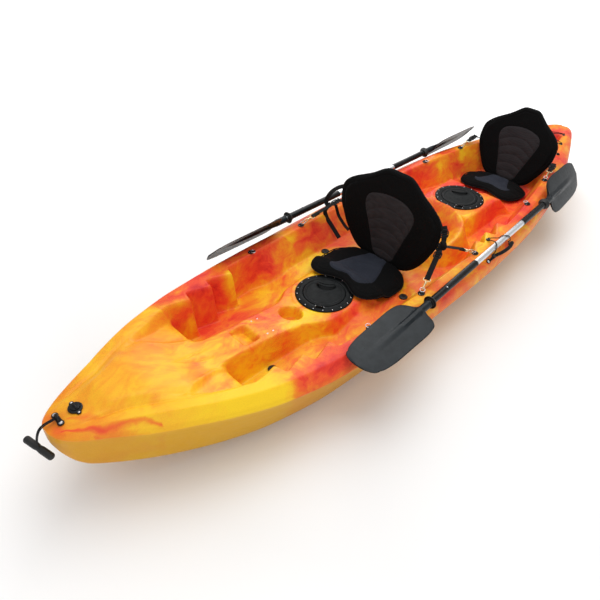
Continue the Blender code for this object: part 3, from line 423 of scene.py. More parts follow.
class Paint:
    """Builds one procedural material."""

    def __init__(self, name, roughness=0.5, metallic=0.0, **sockets):
        self.mat = bpy.data.materials.new(name)
        self.mat.use_nodes = True
        self.tree = self.mat.node_tree
        self.shader = self.tree.nodes["Principled BSDF"]
        self.shader.inputs["Roughness"].default_value = roughness
        self.shader.inputs["Metallic"].default_value = metallic
        for socket, value in sockets.items():
            self.shader.inputs[socket.replace("_", " ")].default_value = value
        self.place = self.node("ShaderNodeTexCoord").outputs["Object"]

    def node(self, kind, **settings):
        made = self.tree.nodes.new(kind)
        for key, value in settings.items():
            setattr(made, key, value)
        return made

    def link(self, a, b):
        self.tree.links.new(a, b)

    def scaled(self, scale, turn=(0, 0, 0), shift=(0, 0, 0), source=None):
        made = self.node("ShaderNodeMapping")
        made.inputs["Scale"].default_value = scale
        made.inputs["Rotation"].default_value = turn
        made.inputs["Location"].default_value = shift
        self.link(source or self.place, made.inputs["Vector"])
        return made.outputs["Vector"]

    def noise(self, scale, detail=3.0, rough=0.5, distortion=0.0, source=None, output="Fac"):
        made = self.node("ShaderNodeTexNoise")
        made.inputs["Scale"].default_value = scale
        made.inputs["Detail"].default_value = detail
        made.inputs["Roughness"].default_value = rough
        made.inputs["Distortion"].default_value = distortion
        self.link(source or self.place, made.inputs["Vector"])
        return made.outputs[output]

    def ramp(self, value, stops, mode="LINEAR"):
        made = self.node("ShaderNodeValToRGB")
        ramp_ = made.color_ramp
        ramp_.interpolation = mode
        while len(ramp_.elements) < len(stops):
            ramp_.elements.new(0.5)
        for element, (place, colour) in zip(ramp_.elements, stops):
            element.position = place
            element.color = (*colour, 1) if len(colour) == 3 else colour
        self.link(value, made.inputs["Fac"])
        return made.outputs["Color"]

    def maths(self, operation, a, b=None, c=None, clamp=False):
        made = self.node("ShaderNodeMath", operation=operation, use_clamp=clamp)
        for socket, value in zip(made.inputs, (a, b, c)):
            if value is None:
                continue
            if isinstance(value, (int, float)):
                socket.default_value = value
            else:
                self.link(value, socket)
        return made.outputs[0]

    def mix(self, share, a, b, blend="MIX"):
        made = self.node("ShaderNodeMix", data_type="RGBA", blend_type=blend)
        for socket, value in ((made.inputs[0], share), (made.inputs[6], a), (made.inputs[7], b)):
            if isinstance(value, (int, float)):
                socket.default_value = value
            elif isinstance(value, tuple):
                socket.default_value = (*value, 1) if len(value) == 3 else value
            else:
                self.link(value, socket)
        return made.outputs[2]

    def vector(self, operation, a, b=None):
        """A vector operation; its value where the result is one number, and its vector otherwise."""
        made = self.node("ShaderNodeVectorMath", operation=operation)
        slots = (made.inputs[0], made.inputs["Scale"] if operation == "SCALE" else made.inputs[1])
        for socket, value in zip(slots, (a, b)):
            if value is None:
                continue
            if isinstance(value, (tuple, int, float)):
                socket.default_value = value
            else:
                self.link(value, socket)
        return made.outputs["Value" if operation in ("DOT_PRODUCT", "LENGTH", "DISTANCE") else "Vector"]

    def span(self, value, low, high, to_low, to_high):
        made = self.node("ShaderNodeMapRange")
        for socket, number in zip(made.inputs[1:5], (low, high, to_low, to_high)):
            socket.default_value = number
        self.link(value, made.inputs[0])
        return made.outputs[0]

    def split(self, source=None):
        made = self.node("ShaderNodeSeparateXYZ")
        self.link(source or self.place, made.inputs[0])
        return made.outputs

    def colour(self, source):
        if isinstance(source, tuple):
            self.shader.inputs["Base Color"].default_value = (*source, 1)
        else:
            self.link(source, self.shader.inputs["Base Color"])
        return self

    def roughness(self, source):
        self.link(source, self.shader.inputs["Roughness"])
        return self

    def bump(self, *heights):
        """Stacks bumps of (height, distance in metres, strength)."""
        before = None
        for height, distance, strength in heights:
            made = self.node("ShaderNodeBump")
            made.inputs["Distance"].default_value = distance
            made.inputs["Strength"].default_value = strength
            self.link(height, made.inputs["Height"])
            if before:
                self.link(before, made.inputs["Normal"])
            before = made.outputs["Normal"]
        self.link(before, self.shader.inputs["Normal"])
        return self


def screen(r, g, b):
    """A colour given as it looks on a screen, 0 to 255, as the renderer wants it."""
    return tuple((c / 255 / 12.92) if c < 10.3 else ((c / 255 + 0.055) / 1.055) ** 2.4 for c in (r, g, b))


# Places where the moulding powder gathered, and painted shade in the cup holder (the entry at 0.0, -0.77): x, y, reach,
# and how red (over 0) or yellow (under 0) it is there
HULL_TINTS_AND_CUP_SHADE = (
    (0.00, -1.50, 0.40, -0.07), (0.28, -1.38, 0.22, -0.30), (0.34, -1.20, 0.16, -0.32), (0.18, -1.62, 0.10, -0.22),
    # the entry at (0.0, -0.77) is painted shade: it makes the cup holder redder, standing in for the shade in its
    # recess
    (0.035, -1.825, 0.035, 0.16), (0.0, -0.77, 0.052, 0.16), (0.395, -1.10, 0.085, 0.36),
    (0.40, -0.99, 0.13, 0.34), (0.41, -0.84, 0.13, 0.28), (0.42, -0.68, 0.13, 0.20), (-0.03, -1.83, 0.05, 0.16),
    (-0.13, -1.72, 0.09, 0.14), (-0.32, -1.20, 0.12, 0.30), (-0.36, -1.00, 0.13, 0.26), (-0.25, -1.06, 0.12, 0.24),
    (-0.20, -0.90, 0.14, 0.20), (-0.30, -0.86, 0.06, -0.26), (-0.38, -0.60, 0.16, 0.20), (-0.42, -0.78, 0.10, 0.24),
    (-0.24, -0.62, 0.11, -0.14), (0.00, -0.72, 0.15, -0.26), (-0.06, -0.56, 0.16, -0.20), (0.02, -1.00, 0.09, -0.08),
    (0.12, -0.90, 0.09, 0.20), (0.14, -1.08, 0.08, 0.14), (-0.22, -0.33, 0.10, -0.22), (-0.35, -0.33, 0.13, 0.18),
    (0.10, 0.12, 0.17, -0.24), (-0.25, 0.45, 0.18, 0.20), (-0.34, 0.62, 0.12, 0.20), (-0.30, 0.80, 0.12, -0.10),
    (0.20, 0.85, 0.20, 0.06), (0.20, 0.60, 0.14, 0.10), (0.42, 0.35, 0.20, 0.12), (0.43, -0.20, 0.22, 0.08),
    (0.30, 0.70, 0.10, 0.10), (0.0, 1.60, 0.35, 0.14),
)
# Thin drawn-out streaks of red powder: both ends (x, y), the half width and how much redder
HULL_STREAKS = (
    ((0.050, -1.815), (0.212, -1.560), 0.0075, 0.26), ((0.115, -1.745), (0.215, -1.600), 0.010, 0.13),
    ((0.020, -1.780), (0.085, -1.690), 0.010, 0.12), ((0.190, -1.330), (0.150, -1.150), 0.012, 0.10),
    ((-0.250, -0.560), (-0.120, -0.860), 0.014, 0.14), ((0.130, -0.300), (0.170, -0.620), 0.014, 0.12),
    ((-0.120, -1.140), (-0.290, -1.240), 0.014, 0.10), ((-0.330, -0.700), (-0.300, -1.000), 0.016, 0.12),
)
# Places where dark grains of the powder show most
HULL_SPECKS = (
    (-0.10, -1.72, 0.13), (-0.20, -1.55, 0.13), (-0.33, -1.20, 0.12), (0.06, -0.93, 0.13), (0.30, -0.85, 0.14),
)


def paint_hull():
    paint = Paint("marbled_polyethylene", 0.4)
    paint.shader.inputs["Subsurface Weight"].default_value = 0.0
    paint.shader.inputs["Specular IOR Level"].default_value = 0.24
    warp = paint.node("ShaderNodeTexNoise")
    warp.inputs["Scale"].default_value = 3.1
    warp.inputs["Detail"].default_value = 3
    paint.link(paint.place, warp.inputs["Vector"])
    push = paint.node("ShaderNodeVectorMath", operation="MULTIPLY_ADD")
    push.inputs[1].default_value = (0.22, 0.30, 0.20)
    paint.link(warp.outputs["Color"], push.inputs[0])
    paint.link(paint.place, push.inputs[2])
    moved = push.outputs[0]
    clouds = paint.noise(4.2, 4.0, 0.52, 0.5, paint.scaled((1.25, 0.8, 1.1), source=moved))
    wisps = paint.noise(11.0, 5.0, 0.62, 1.1, paint.scaled((1.3, 0.7, 1.0), (0, 0, 0.5), source=moved))
    streaks = paint.noise(24.0, 6.0, 0.66, 1.6, paint.scaled((1.4, 0.55, 1.0), (0, 0, 0.45), source=moved))
    level = paint.maths("MULTIPLY", paint.maths("SUBTRACT", clouds, 0.5), 1.45)
    level = paint.maths("MULTIPLY_ADD", paint.maths("SUBTRACT", wisps, 0.5), 0.75, level)
    level = paint.maths("MULTIPLY_ADD", paint.maths("SUBTRACT", streaks, 0.5), 0.42, level)
    place = paint.split()
    # The foredeck is calmer than the rest.
    level = paint.maths("MULTIPLY_ADD", level, paint.span(place[1], -1.48, -1.12, 0.38, 1.0), 0.53)
    # The powder is yellow at the bow and turns orange and red towards the stern.
    level = paint.maths("ADD", level, paint.span(place[1], -1.3, 0.1, -0.08, 0.07))
    plan = paint.scaled((1, 1, 0))
    for x, y, reach, amount in HULL_TINTS_AND_CUP_SHADE:
        near = paint.span(paint.vector("DISTANCE", plan, (x, y, 0)), reach * 1.35, 0.25 * reach, 0.0, 1.0)
        near = paint.maths("MULTIPLY", near, near)
        level = paint.maths("MULTIPLY_ADD", near, amount, level)
    waver = paint.node("ShaderNodeVectorMath", operation="MULTIPLY_ADD")
    waver.inputs[1].default_value = (0.05, 0.05, 0)
    paint.link(paint.noise(9.0, 4.0, output="Color"), waver.inputs[0])
    paint.link(paint.scaled((1, 1, 0), (0, 0, 0), (-0.025, -0.025, 0)), waver.inputs[2])
    for start, end, reach, amount in HULL_STREAKS:
        along_streak = Vector(end) - Vector(start)
        away = paint.vector("SUBTRACT", waver.outputs[0], (*start, 0))
        share = paint.vector("DOT_PRODUCT", away, (*(along_streak / along_streak.length_squared), 0))
        share = paint.maths("ADD", share, 0.0, clamp=True)
        foot = paint.vector("SCALE", (*along_streak, 0), share)
        gap = paint.vector("LENGTH", paint.vector("SUBTRACT", away, foot))
        taper = paint.span(paint.maths("ABSOLUTE", paint.maths("SUBTRACT", share, 0.5)), 0.2, 0.5, 1.0, 0.35)
        near = paint.span(paint.maths("DIVIDE", gap, taper), reach * 1.5, reach * 0.2, 0.0, 1.0)
        level = paint.maths("MULTIPLY_ADD", near, amount, level)
    # The powder blends: most of the deck is a middle orange.
    level = paint.maths("MULTIPLY_ADD", level, 0.86, 0.072)
    base = paint.ramp(level, (
        (0.18, screen(250, 206, 34)), (0.34, screen(247, 188, 36)), (0.44, screen(243, 158, 34)),
        (0.55, screen(240, 124, 36)), (0.66, screen(238, 96, 42)), (0.78, screen(232, 66, 42)),
        (0.96, screen(206, 38, 36)),
    ))
    # Painted shade: low on the hull, where the 'side' mark is high, the colour is mixed towards a darker gold, standing
    # in for the shade on the lower side.
    outer = paint.node("ShaderNodeAttribute")
    outer.attribute_name = "side"
    shade = paint.mix(paint.maths("MULTIPLY", outer.outputs["Fac"], 0.88), base, screen(208, 152, 16), "MIX")
    specks = paint.ramp(paint.noise(900, 1.0, 0.5), ((0.30, (0.62, 0.62, 0.62)), (0.42, (1, 1, 1))))
    grains = paint.ramp(paint.noise(260, 2.0, 0.6), ((0.25, (0.88, 0.86, 0.84)), (0.6, (1.0, 1.0, 1.0))))
    colour = paint.mix(0.35, shade, paint.mix(1.0, shade, specks, "MULTIPLY"))
    colour = paint.mix(0.6, colour, paint.mix(1.0, colour, grains, "MULTIPLY"))
    grit = paint.ramp(paint.noise(520, 2.0, 0.6), ((0.34, (0.30, 0.16, 0.12)), (0.43, (1, 1, 1))))
    gritty = 0.0
    for x, y, reach in HULL_SPECKS:
        near = paint.span(paint.vector("DISTANCE", plan, (x, y, 0)), reach, 0.2 * reach, 0.0, 0.6)
        gritty = paint.maths("MAXIMUM", gritty, near)
    colour = paint.mix(gritty, colour, paint.mix(1.0, colour, grit, "MULTIPLY"))
    paint.colour(colour)
    scuffs = paint.noise(38, 6, 0.7, 0.4, paint.scaled((1, 0.35, 1)))
    paint.roughness(paint.span(scuffs, 0.3, 0.75, 0.34, 0.52))
    paint.bump((paint.noise(420, 2.0, 0.5), 0.0004, 0.25), (paint.noise(16, 2.0, 0.5), 0.0022, 0.35))
    return paint.mat


def paint_plastic(name, colour, roughness=0.42, grain=700.0, depth=0.25, shine=0.3):
    """Injection-moulded plastic: fine spark-eroded grain, faint clouding and handling marks."""
    paint = Paint(name, roughness, Specular_IOR_Level=shine)
    clouds = paint.noise(30, 3, 0.6)
    lighter = tuple(min(1.0, c * 1.5 + 0.004) for c in colour)
    paint.colour(paint.mix(paint.span(clouds, 0.35, 0.7, 0.0, 1.0), tuple(colour), lighter))
    marks = paint.noise(90, 5, 0.7, 0.3)
    paint.roughness(paint.span(marks, 0.3, 0.75, roughness - 0.07, roughness + 0.12))
    paint.bump((paint.noise(grain, 2.0, 0.5), 0.0003, depth))
    return paint.mat


def paint_metal(name, colour, roughness, across="Z", brushed=True, metallic=1.0):
    paint = Paint(name, roughness, metallic)
    scale = (400, 400, 400)
    if brushed:
        scale = {"X": (6, 900, 900), "Y": (900, 6, 900), "Z": (900, 900, 6)}[across]
    lines = paint.noise(1.0, 3, 0.6, source=paint.scaled(scale))
    tone = paint.noise(25, 4, 0.6)
    darker = tuple(c * 0.82 for c in colour)
    paint.colour(paint.mix(paint.span(tone, 0.3, 0.7, 0.0, 1.0), tuple(colour), darker))
    paint.roughness(paint.span(lines, 0.25, 0.75, roughness - 0.06, roughness + 0.14))
    paint.bump((lines, 0.0002, 0.15))
    return paint.mat


def paint_fabric(name, colour, second, scale, roughness=0.9, sheen=0.25, depth=0.0006, knit=True):
    """Cloth with a real weave or knit at its true scale, slubs, and a soft sheen."""
    paint = Paint(name, roughness, Sheen_Weight=sheen, Sheen_Roughness=0.45, Specular_IOR_Level=0.12)
    paint.shader.inputs["Sheen Tint"].default_value = (*(min(1, c * 4 + 0.15) for c in colour), 1)
    turned_ = paint.scaled((1, 1, 1), (0.0, 0.0, 0.785 if knit else 0.0))
    place = paint.split(turned_)
    rows = paint.maths("SINE", paint.maths("MULTIPLY", place[0], scale))
    columns = paint.maths("SINE", paint.maths("MULTIPLY", place[1], scale))
    upright = paint.maths("SINE", paint.maths("MULTIPLY", place[2], scale))
    weave = paint.maths("MULTIPLY", paint.maths("MULTIPLY", rows, columns), 0.5)
    weave = paint.maths("MULTIPLY_ADD", paint.maths("MULTIPLY", upright, rows), 0.5, weave)
    fuzz = paint.noise(scale * 0.6, 3, 0.65)
    height = paint.maths("MULTIPLY_ADD", fuzz, 0.8, weave)
    patches = paint.noise(14, 4, 0.6)
    base = paint.mix(paint.span(patches, 0.3, 0.7, 0.0, 1.0), tuple(colour), tuple(second))
    thread = paint.ramp(paint.maths("MULTIPLY_ADD", weave, 0.5, 0.5),
                        ((0.2, (0.72, 0.72, 0.72)), (0.8, (1.2, 1.2, 1.2))))
    paint.colour(paint.mix(1.0, base, thread, "MULTIPLY"))
    paint.roughness(paint.span(patches, 0.3, 0.7, roughness - 0.08, min(1.0, roughness + 0.04)))
    paint.bump((height, depth, 0.55), (paint.noise(60, 3, 0.6), 0.0012, 0.25))
    return paint.mat


def paint_webbing(name, colour):
    """Nylon webbing: a tight herringbone."""
    paint = Paint(name, 0.62, Sheen_Weight=0.03, Sheen_Roughness=0.4, Specular_IOR_Level=0.18)
    place = paint.split(paint.scaled((1, 1, 1)))
    run = paint.maths("ADD", place[1], place[2])
    zigzag = paint.maths("PINGPONG", paint.maths("MULTIPLY", place[0], 1.0), 0.002)
    rib = paint.maths("SINE", paint.maths("MULTIPLY", paint.maths("MULTIPLY_ADD", zigzag, 1.6, run), 2400))
    fuzz = paint.noise(1500, 2, 0.6)
    low, high = tuple(c * 0.55 for c in colour), tuple(c * 1.6 for c in colour)
    paint.colour(paint.ramp(paint.maths("MULTIPLY_ADD", rib, 0.5, 0.5), ((0.15, low), (0.9, high))))
    paint.roughness(paint.span(paint.noise(70, 3, 0.6), 0.3, 0.7, 0.55, 0.75))
    paint.bump((rib, 0.0004, 0.5), (fuzz, 0.0003, 0.3))
    return paint.mat


def paint_cord(name, colour, fleck=None):
    """Braided cord: two sets of strands crossing on the slant."""
    paint = Paint(name, 0.7, Sheen_Weight=0.05, Specular_IOR_Level=0.2)
    place = paint.split(paint.scaled((1, 1, 1)))
    slants = (paint.maths("ADD", place[0], paint.maths("ADD", place[1], place[2])),
              paint.maths("SUBTRACT", place[1], paint.maths("ADD", place[0], place[2])))
    braid = paint.maths("MULTIPLY", *(paint.maths("SINE", paint.maths("MULTIPLY", slant, 2300)) for slant in slants))
    share = paint.maths("MULTIPLY_ADD", braid, 0.5, 0.5)
    light = fleck or tuple(c * 2.2 + 0.01 for c in colour)
    paint.colour(paint.ramp(share, ((0.2, tuple(colour)), (0.85, light))))
    paint.roughness(paint.span(paint.noise(80, 3, 0.6), 0.3, 0.7, 0.6, 0.8))
    paint.bump((braid, 0.0005, 0.6))
    return paint.mat


def paint_rubber(name, colour, roughness=0.55):
    paint = Paint(name, roughness)
    dust = paint.noise(45, 5, 0.65)
    paint.colour(paint.mix(paint.span(dust, 0.45, 0.75, 0.0, 0.5), tuple(colour), tuple(c * 2 + 0.012 for c in colour)))
    paint.roughness(paint.span(dust, 0.3, 0.7, roughness - 0.1, roughness + 0.12))
    paint.bump((paint.noise(1100, 2, 0.5), 0.0003, 0.3))
    return paint.mat


def paint_floor():
    paint = Paint("studio_floor", 0.7)
    paint.shader.inputs["Specular IOR Level"].default_value = 0.2
    tone = paint.noise(0.7, 3, 0.5)
    paint.colour(paint.ramp(tone, ((0.3, (0.93, 0.93, 0.935)), (0.7, (0.955, 0.955, 0.95)))))
    paint.bump((paint.noise(180, 2, 0.5), 0.0003, 0.05))
    # Far off, painted light: the floor glows, the more the further from the origin, so that it stays white.
    reach = paint.node("ShaderNodeVectorMath", operation="LENGTH")
    paint.link(paint.place, reach.inputs[0])
    paint.shader.inputs["Emission Color"].default_value = (1, 1, 1, 1)
    paint.link(paint.span(reach.outputs["Value"], 1.6, 4.5, 0.0, 0.55), paint.shader.inputs["Emission Strength"])
    return paint.mat


HULL = paint_hull()
NYLON = paint_plastic("moulded_black_nylon", (0.0045, 0.0050, 0.0058), 0.36, shine=0.22)
HATCH = paint_plastic("hatch_plastic", (0.0035, 0.0046, 0.0050), 0.50, 520, 0.35, 0.10)
BLADE = paint_plastic("blade_plastic", (0.0060, 0.0090, 0.0112), 0.34, 460, 0.14, 0.19)
SLEEVE = paint_plastic("shaft_sleeve_plastic", (0.0035, 0.0038, 0.0042), 0.26, 380, 0.2, 0.2)
RUBBER = paint_rubber("black_rubber", (0.0045, 0.0045, 0.0048))
NEOPRENE = paint_fabric("black_neoprene", (0.0016, 0.0017, 0.0019), (0.0030, 0.0031, 0.0034), 1500, 0.93, 0.015)
QUILT = paint_fabric("grey_quilted_mesh", (0.0210, 0.0190, 0.0210), (0.0300, 0.0270, 0.0290), 1100, 0.85, 0.12,
                     0.0008)
SLATE = paint_fabric("slate_stretch_fabric", (0.0170, 0.0200, 0.0300), (0.0250, 0.0290, 0.0410), 1700, 0.72, 0.16,
                     0.0004)
PIPING = paint_fabric("edge_binding", (0.0060, 0.0060, 0.0064), (0.0100, 0.0100, 0.0105), 2200, 0.7, 0.12,
                      0.0003, knit=False)
WEBBING = paint_webbing("black_webbing", (0.0040, 0.0040, 0.0043))
BUNGEE = paint_cord("black_bungee_braid", (0.0045, 0.0045, 0.0048))
ALUMINIUM = paint_metal("brushed_aluminium", (0.80, 0.81, 0.83), 0.26, "Y")
STEEL = paint_metal("stainless_steel", (0.74, 0.74, 0.76), 0.20, brushed=False)
BRASS = paint_metal("satin_brass", (0.83, 0.66, 0.38), 0.26, brushed=False)


# ------------------------------------------------------------------ camera, light and floor

CAMERA_PLACE = (1.2778, -2.0710, 1.8145)
CAMERA_AIM, CAMERA_DOWN, CAMERA_ROLL = 0.7556, 0.7007, 0.0433
CAMERA_LENS = 33.245


def make_camera():
    ahead = Vector((-math.sin(CAMERA_AIM) * math.cos(CAMERA_DOWN), math.cos(CAMERA_AIM) * math.cos(CAMERA_DOWN),
                    -math.sin(CAMERA_DOWN)))
    level = Vector((math.cos(CAMERA_AIM), math.sin(CAMERA_AIM), 0))
    over = level.cross(ahead)
    right = math.cos(CAMERA_ROLL) * level + math.sin(CAMERA_ROLL) * over
    up = -math.sin(CAMERA_ROLL) * level + math.cos(CAMERA_ROLL) * over
    data = bpy.data.cameras.new("camera")
    data.lens = CAMERA_LENS
    data.clip_start = 0.05
    camera = put_in_scene(bpy.data.objects.new("camera", data))
    camera.matrix_world = Matrix.Translation(CAMERA_PLACE) @ Matrix((right, up, -ahead)).transposed().to_4x4()
    bpy.context.scene.camera = camera


def make_light(name, place, target, size, power, tint=(1, 1, 1)):
    data = bpy.data.lights.new(name, "AREA")
    data.shape = "RECTANGLE"
    data.size, data.size_y = size
    data.energy = power
    data.color = tint
    lamp = put_in_scene(bpy.data.objects.new(name, data))
    lamp.location = place
    lamp.rotation_euler = (Vector(target) - Vector(place)).to_track_quat("-Z", "Y").to_euler()


def make_studio():
    world = bpy.data.worlds.new("studio")
    world.use_nodes = True
    world.node_tree.nodes["Background"].inputs["Color"].default_value = (1.0, 1.0, 1.0, 1)
    world.node_tree.nodes["Background"].inputs["Strength"].default_value = 0.62
    bpy.context.scene.world = world
    bpy.context.scene.view_settings.view_transform = "Standard"
    make_light("overhead", (-0.3, 0.6, 3.6), (0, 0, 0.2), (3.2, 4.6), 92)
    make_light("behind", (-2.6, 2.8, 2.3), (0, 0.2, 0.3), (2.0, 2.4), 42)
    make_light("front_fill", (2.6, -3.2, 2.0), (0.2, -0.4, 0.2), (2.4, 1.8), 16)
    size = 44.0
    count = 40
    verts = [((i / count - 0.5) * size, (j / count - 0.5) * size, -0.0004) for j in range(count + 1)
             for i in range(count + 1)]
    mesh = mesh_from_arrays("studio_floor", verts, grid_faces(count + 1, count + 1))
    dress("studio_floor", mesh, None, paint_floor())


make_camera()
make_studio()


# ------------------------------------------------------------------ hull

RASTER = 0.004
BLUR = 0.0036
ARC = ((-0.276, -1.215), (-0.247, -1.275), (-0.217, -1.33), (-0.182, -1.41), (-0.14, -1.455), (-0.09, -1.463),
       (-0.045, -1.427), (-0.008, -1.383), (0.018, -1.292), (0.026, -1.22))
WING = ((0.128, -1.185), (0.117, -1.200), (0.100, -1.262), (0.114, -1.320), (0.143, -1.387), (0.176, -1.435))
PLATE = (0.065, -0.990, -0.910)
RECESS = (0.060, 0.700, 0.742)
INSERTS = ((0.050, -0.922), (-0.050, -0.922), (0.051, -0.955), (-0.051, -0.955))


def blurred(field, sigma, spacing):
    reach = max(1, int(3 * sigma / spacing))
    taps = np.exp(-0.5 * (np.arange(-reach, reach + 1) * spacing / sigma) ** 2)
    taps /= taps.sum()
    for axis in (0, 1):
        padding = [(0, 0), (0, 0)]
        padding[axis] = (reach, reach)
        padded = np.pad(field, padding, mode="edge")
        field = sum(t * np.take(padded, np.arange(k, k + field.shape[axis]), axis) for k, t in enumerate(taps))
    return field


def soft_step(distance, width):
    """1 well inside (distance under 0), 0 well outside, over a width."""
    return 1 - ramp((distance + width / 2) / width)


def box_distance(x, y, centre, half, corner):
    dx = np.abs(x - centre[0]) - half[0] + corner
    dy = np.abs(y - centre[1]) - half[1] + corner
    return np.hypot(np.maximum(dx, 0), np.maximum(dy, 0)) + np.minimum(np.maximum(dx, dy), 0) - corner


def line_distance(x, y, stops):
    """Distance to a bent line in the plan."""
    best = np.full(np.shape(x), 1e9)
    for (ax, ay), (bx, by) in zip(stops, stops[1:]):
        dx, dy = bx - ax, by - ay
        t = np.clip(((x - ax) * dx + (y - ay) * dy) / (dx * dx + dy * dy), 0, 1)
        best = np.minimum(best, np.hypot(x - ax - t * dx, y - ay - t * dy))
    return best


def crisp(y):
    """How sharply the gunwale's bevel is moulded: fully towards the bow, not at all amidships."""
    return ramp((-0.35 - np.asarray(y, float)) / 0.35)


class Deck:
    """The deck as a height field, with the small mouldings that the CAD leaves off."""

    def __init__(self):
        self.xs = np.arange(-0.50, 0.5001, RASTER)
        self.ys = np.arange(-1.90, 1.9001, RASTER)
        x, y = np.meshgrid(self.xs, self.ys, indexing="ij")
        field = deck_height(x, np.clip(y, -1.85, 1.85))
        slim, beam = narrow(y), along(y, BEAM)
        bevel = along(y, CROWN) - np.clip(1.3 * (np.abs(x) - beam + 0.040 * slim), 0, 0.052 * slim)
        field = np.where(np.abs(x) > inner_edge(y), field + (bevel - field) * crisp(y), field)
        self.field = blurred(field, BLUR, RASTER)
        for _, (hatch_y, level) in HATCHES.items():
            reach = np.hypot(x, y - hatch_y)
            flat = soft_step(reach - 0.137, 0.006)
            self.field = self.field * (1 - flat) + level * flat
        self.extra = np.zeros_like(self.field)
        self.fine(x, y)
        self.all = self.field + blurred(self.extra, 0.0022, RASTER)

    def fine(self, x, y):
        add = self.extra
        for end, (hatch_y, _) in HATCHES.items():
            reach = np.hypot(x, y - hatch_y)
            side = 1.0 if end == "front" else 0.6
            ridge = np.exp(-((reach - 0.1475) / 0.0045) ** 2) * 0.0035 * side
            add += ridge * soft_step(np.abs(x) - 0.142, 0.012)
        # the foredeck's dome, standing a little proud of the gunwales with a crease round it
        edge = inner_edge(y)
        dome = ramp((y + 1.72) / 0.08) * (1 - ramp((y + 1.42) / 0.12))
        add += 0.015 * ramp((edge - np.abs(x)) / 0.040) * dome
        crease = ramp((y + 1.76) / 0.04) * (1 - ramp((y + 1.33) / 0.08))
        add -= 0.0052 * np.exp(-((np.abs(x) - edge - 0.002) / 0.0055) ** 2) * crease
        # the line where the cockpit moulding starts, and the rib from the port well to the gunwale
        add -= 0.0046 * np.exp(-(line_distance(x, y, ARC) / 0.0048) ** 2)
        add += 0.0060 * np.exp(-(line_distance(x, y, WING) / 0.0085) ** 2)
        # cup holder, with a rounded lip
        reach = np.hypot(x, y - CUP_Y)
        add -= CUP_DEPTH * 0.62 * soft_step(reach - CUP_RADIUS + 0.003, 0.016)
        add += 0.0018 * np.exp(-((reach - CUP_RADIUS - 0.011) / 0.006) ** 2)
        # rectangular pocket, deepest at its rear
        half, front, back = POCKET
        away = box_distance(x, y, (0, (front + back) / 2), (half, (back - front) / 2), 0.012)
        add -= (0.018 + 0.017 * ramp((y - front) / (back - front))) * soft_step(away + 0.004, 0.012)
        # flat plate with a fine sunk outline for accessories
        half, front, back = PLATE
        away = box_distance(x, y, (0, (front + back) / 2), (half, (back - front) / 2), 0.006)
        add -= 0.0016 * np.exp(-(away / 0.0022) ** 2)
        # small recess ahead of the rear seat
        half, front, back = RECESS
        away = box_distance(x, y, (0, (front + back) / 2), (half, (back - front) / 2), 0.010)
        add -= 0.020 * soft_step(away, 0.010)
        # rim of the child's seat
        reach = np.hypot(x, y - DISH_Y)
        add += 0.0030 * np.exp(-((reach - DISH_RADIUS) / 0.008) ** 2) * soft_step(np.abs(x) - 0.2, 0.02)
        # drain channels in the two seat pans
        for pan_y, half in ((-0.27, 0.10), (0.93, 0.10)):
            for side in (-0.07, 0, 0.07):
                away = box_distance(x, y, (side, pan_y), (0.006, half), 0.006)
                add -= 0.003 * soft_step(away, 0.008)

    def sample(self, x, y, field=None):
        field = self.all if field is None else field
        fx = np.clip((np.asarray(x, float) - self.xs[0]) / RASTER, 0, len(self.xs) - 1.001)
        fy = np.clip((np.asarray(y, float) - self.ys[0]) / RASTER, 0, len(self.ys) - 1.001)
        i, j = fx.astype(int), fy.astype(int)
        u, v = fx - i, fy - j
        low = field[i, j] * (1 - u) + field[i + 1, j] * u
        high = field[i, j + 1] * (1 - u) + field[i + 1, j + 1] * u
        return low * (1 - v) + high * v

    def height(self, x, y):
        x, y = np.asarray(x, float), np.asarray(y, float)
        z = self.sample(x, y)
        for px, py in SCUPPERS:
            reach = np.hypot(np.abs(x) - px, y - py)
            z = z - 0.045 * soft_step(reach - 0.0165, 0.004)
        return z


DECK = Deck()


def lower_section(y, start, count):
    """The side band and the bottom of one section, from a point on the deck's edge to the keel."""
    beam, slim = float(along(y, BEAM)), float(narrow(y))
    edge_x, edge_z = start
    keel, bilge = float(along(y, KEEL)), float(along(y, BILGE))
    lift = min(0.035, 0.8 * (bilge - keel))
    sharp = float(crisp(y))
    band = (BAND_HEIGHT * slim * 0.75 + 0.015) * (1 - sharp) + 0.027 * slim * sharp
    chine = max(edge_z - band, bilge + 0.012)
    raised = 0.25 * (bilge - keel) * (keel > 0.0055)
    fall = 0.69 + 0.61 * sharp
    control = [
        (edge_x - 0.004 * slim, edge_z + 0.004 * fall * slim), (edge_x + 0.004 * slim, edge_z - 0.004 * fall * slim),
        (beam - (0.003 + 0.003 * sharp) * slim, edge_z - (0.30 + 0.30 * sharp) * (edge_z - chine)),
        (beam + 0.001 * slim, chine + 0.004 - 0.002 * sharp), (beam - 0.001 * slim, chine - 0.003),
        (0.91 * beam, bilge + 0.55 * (chine - bilge)), (0.81 * beam, bilge + 0.002),
        (0.775 * beam, bilge - 0.35 * (bilge - keel)), (0.66 * beam, keel + raised), (0.60 * beam, keel + 0.8 * raised),
        (0.53 * beam, keel + 0.8 * raised), (0.44 * beam, keel + 0.75 * lift), (0.38 * beam, keel + lift),
        (0.24 * beam, keel + 0.9 * lift), (0.16 * beam, keel + 0.75 * lift), (0.09 * beam, keel), (0.05 * beam, keel),
        (0.0, keel),
    ]
    p = np.array(control)
    t = np.linspace(0, len(p) - 2 - 1e-9, count)
    k = t.astype(int)
    f = (t - k)[:, None]
    a, b, c = p[k], p[k + 1], p[k + 2]
    # quadratic B-spline through the middles of the control polygon's sides
    return 0.5 * ((1 - f) ** 2 * a + (1 + 2 * f - 2 * f * f) * b + f * f * c)


def hull_stations():
    ys = list(np.arange(-1.845, 1.8451, 0.0058))
    ys += [-1.85, -1.8485, 1.85, 1.8485]
    for face in FRONT_STEPS + REAR_STEPS:
        ys += [face - 0.001, face + 0.0045, face + 0.009, face + 0.014]
    return np.array(sorted(set(round(float(y), 5) for y in ys)))


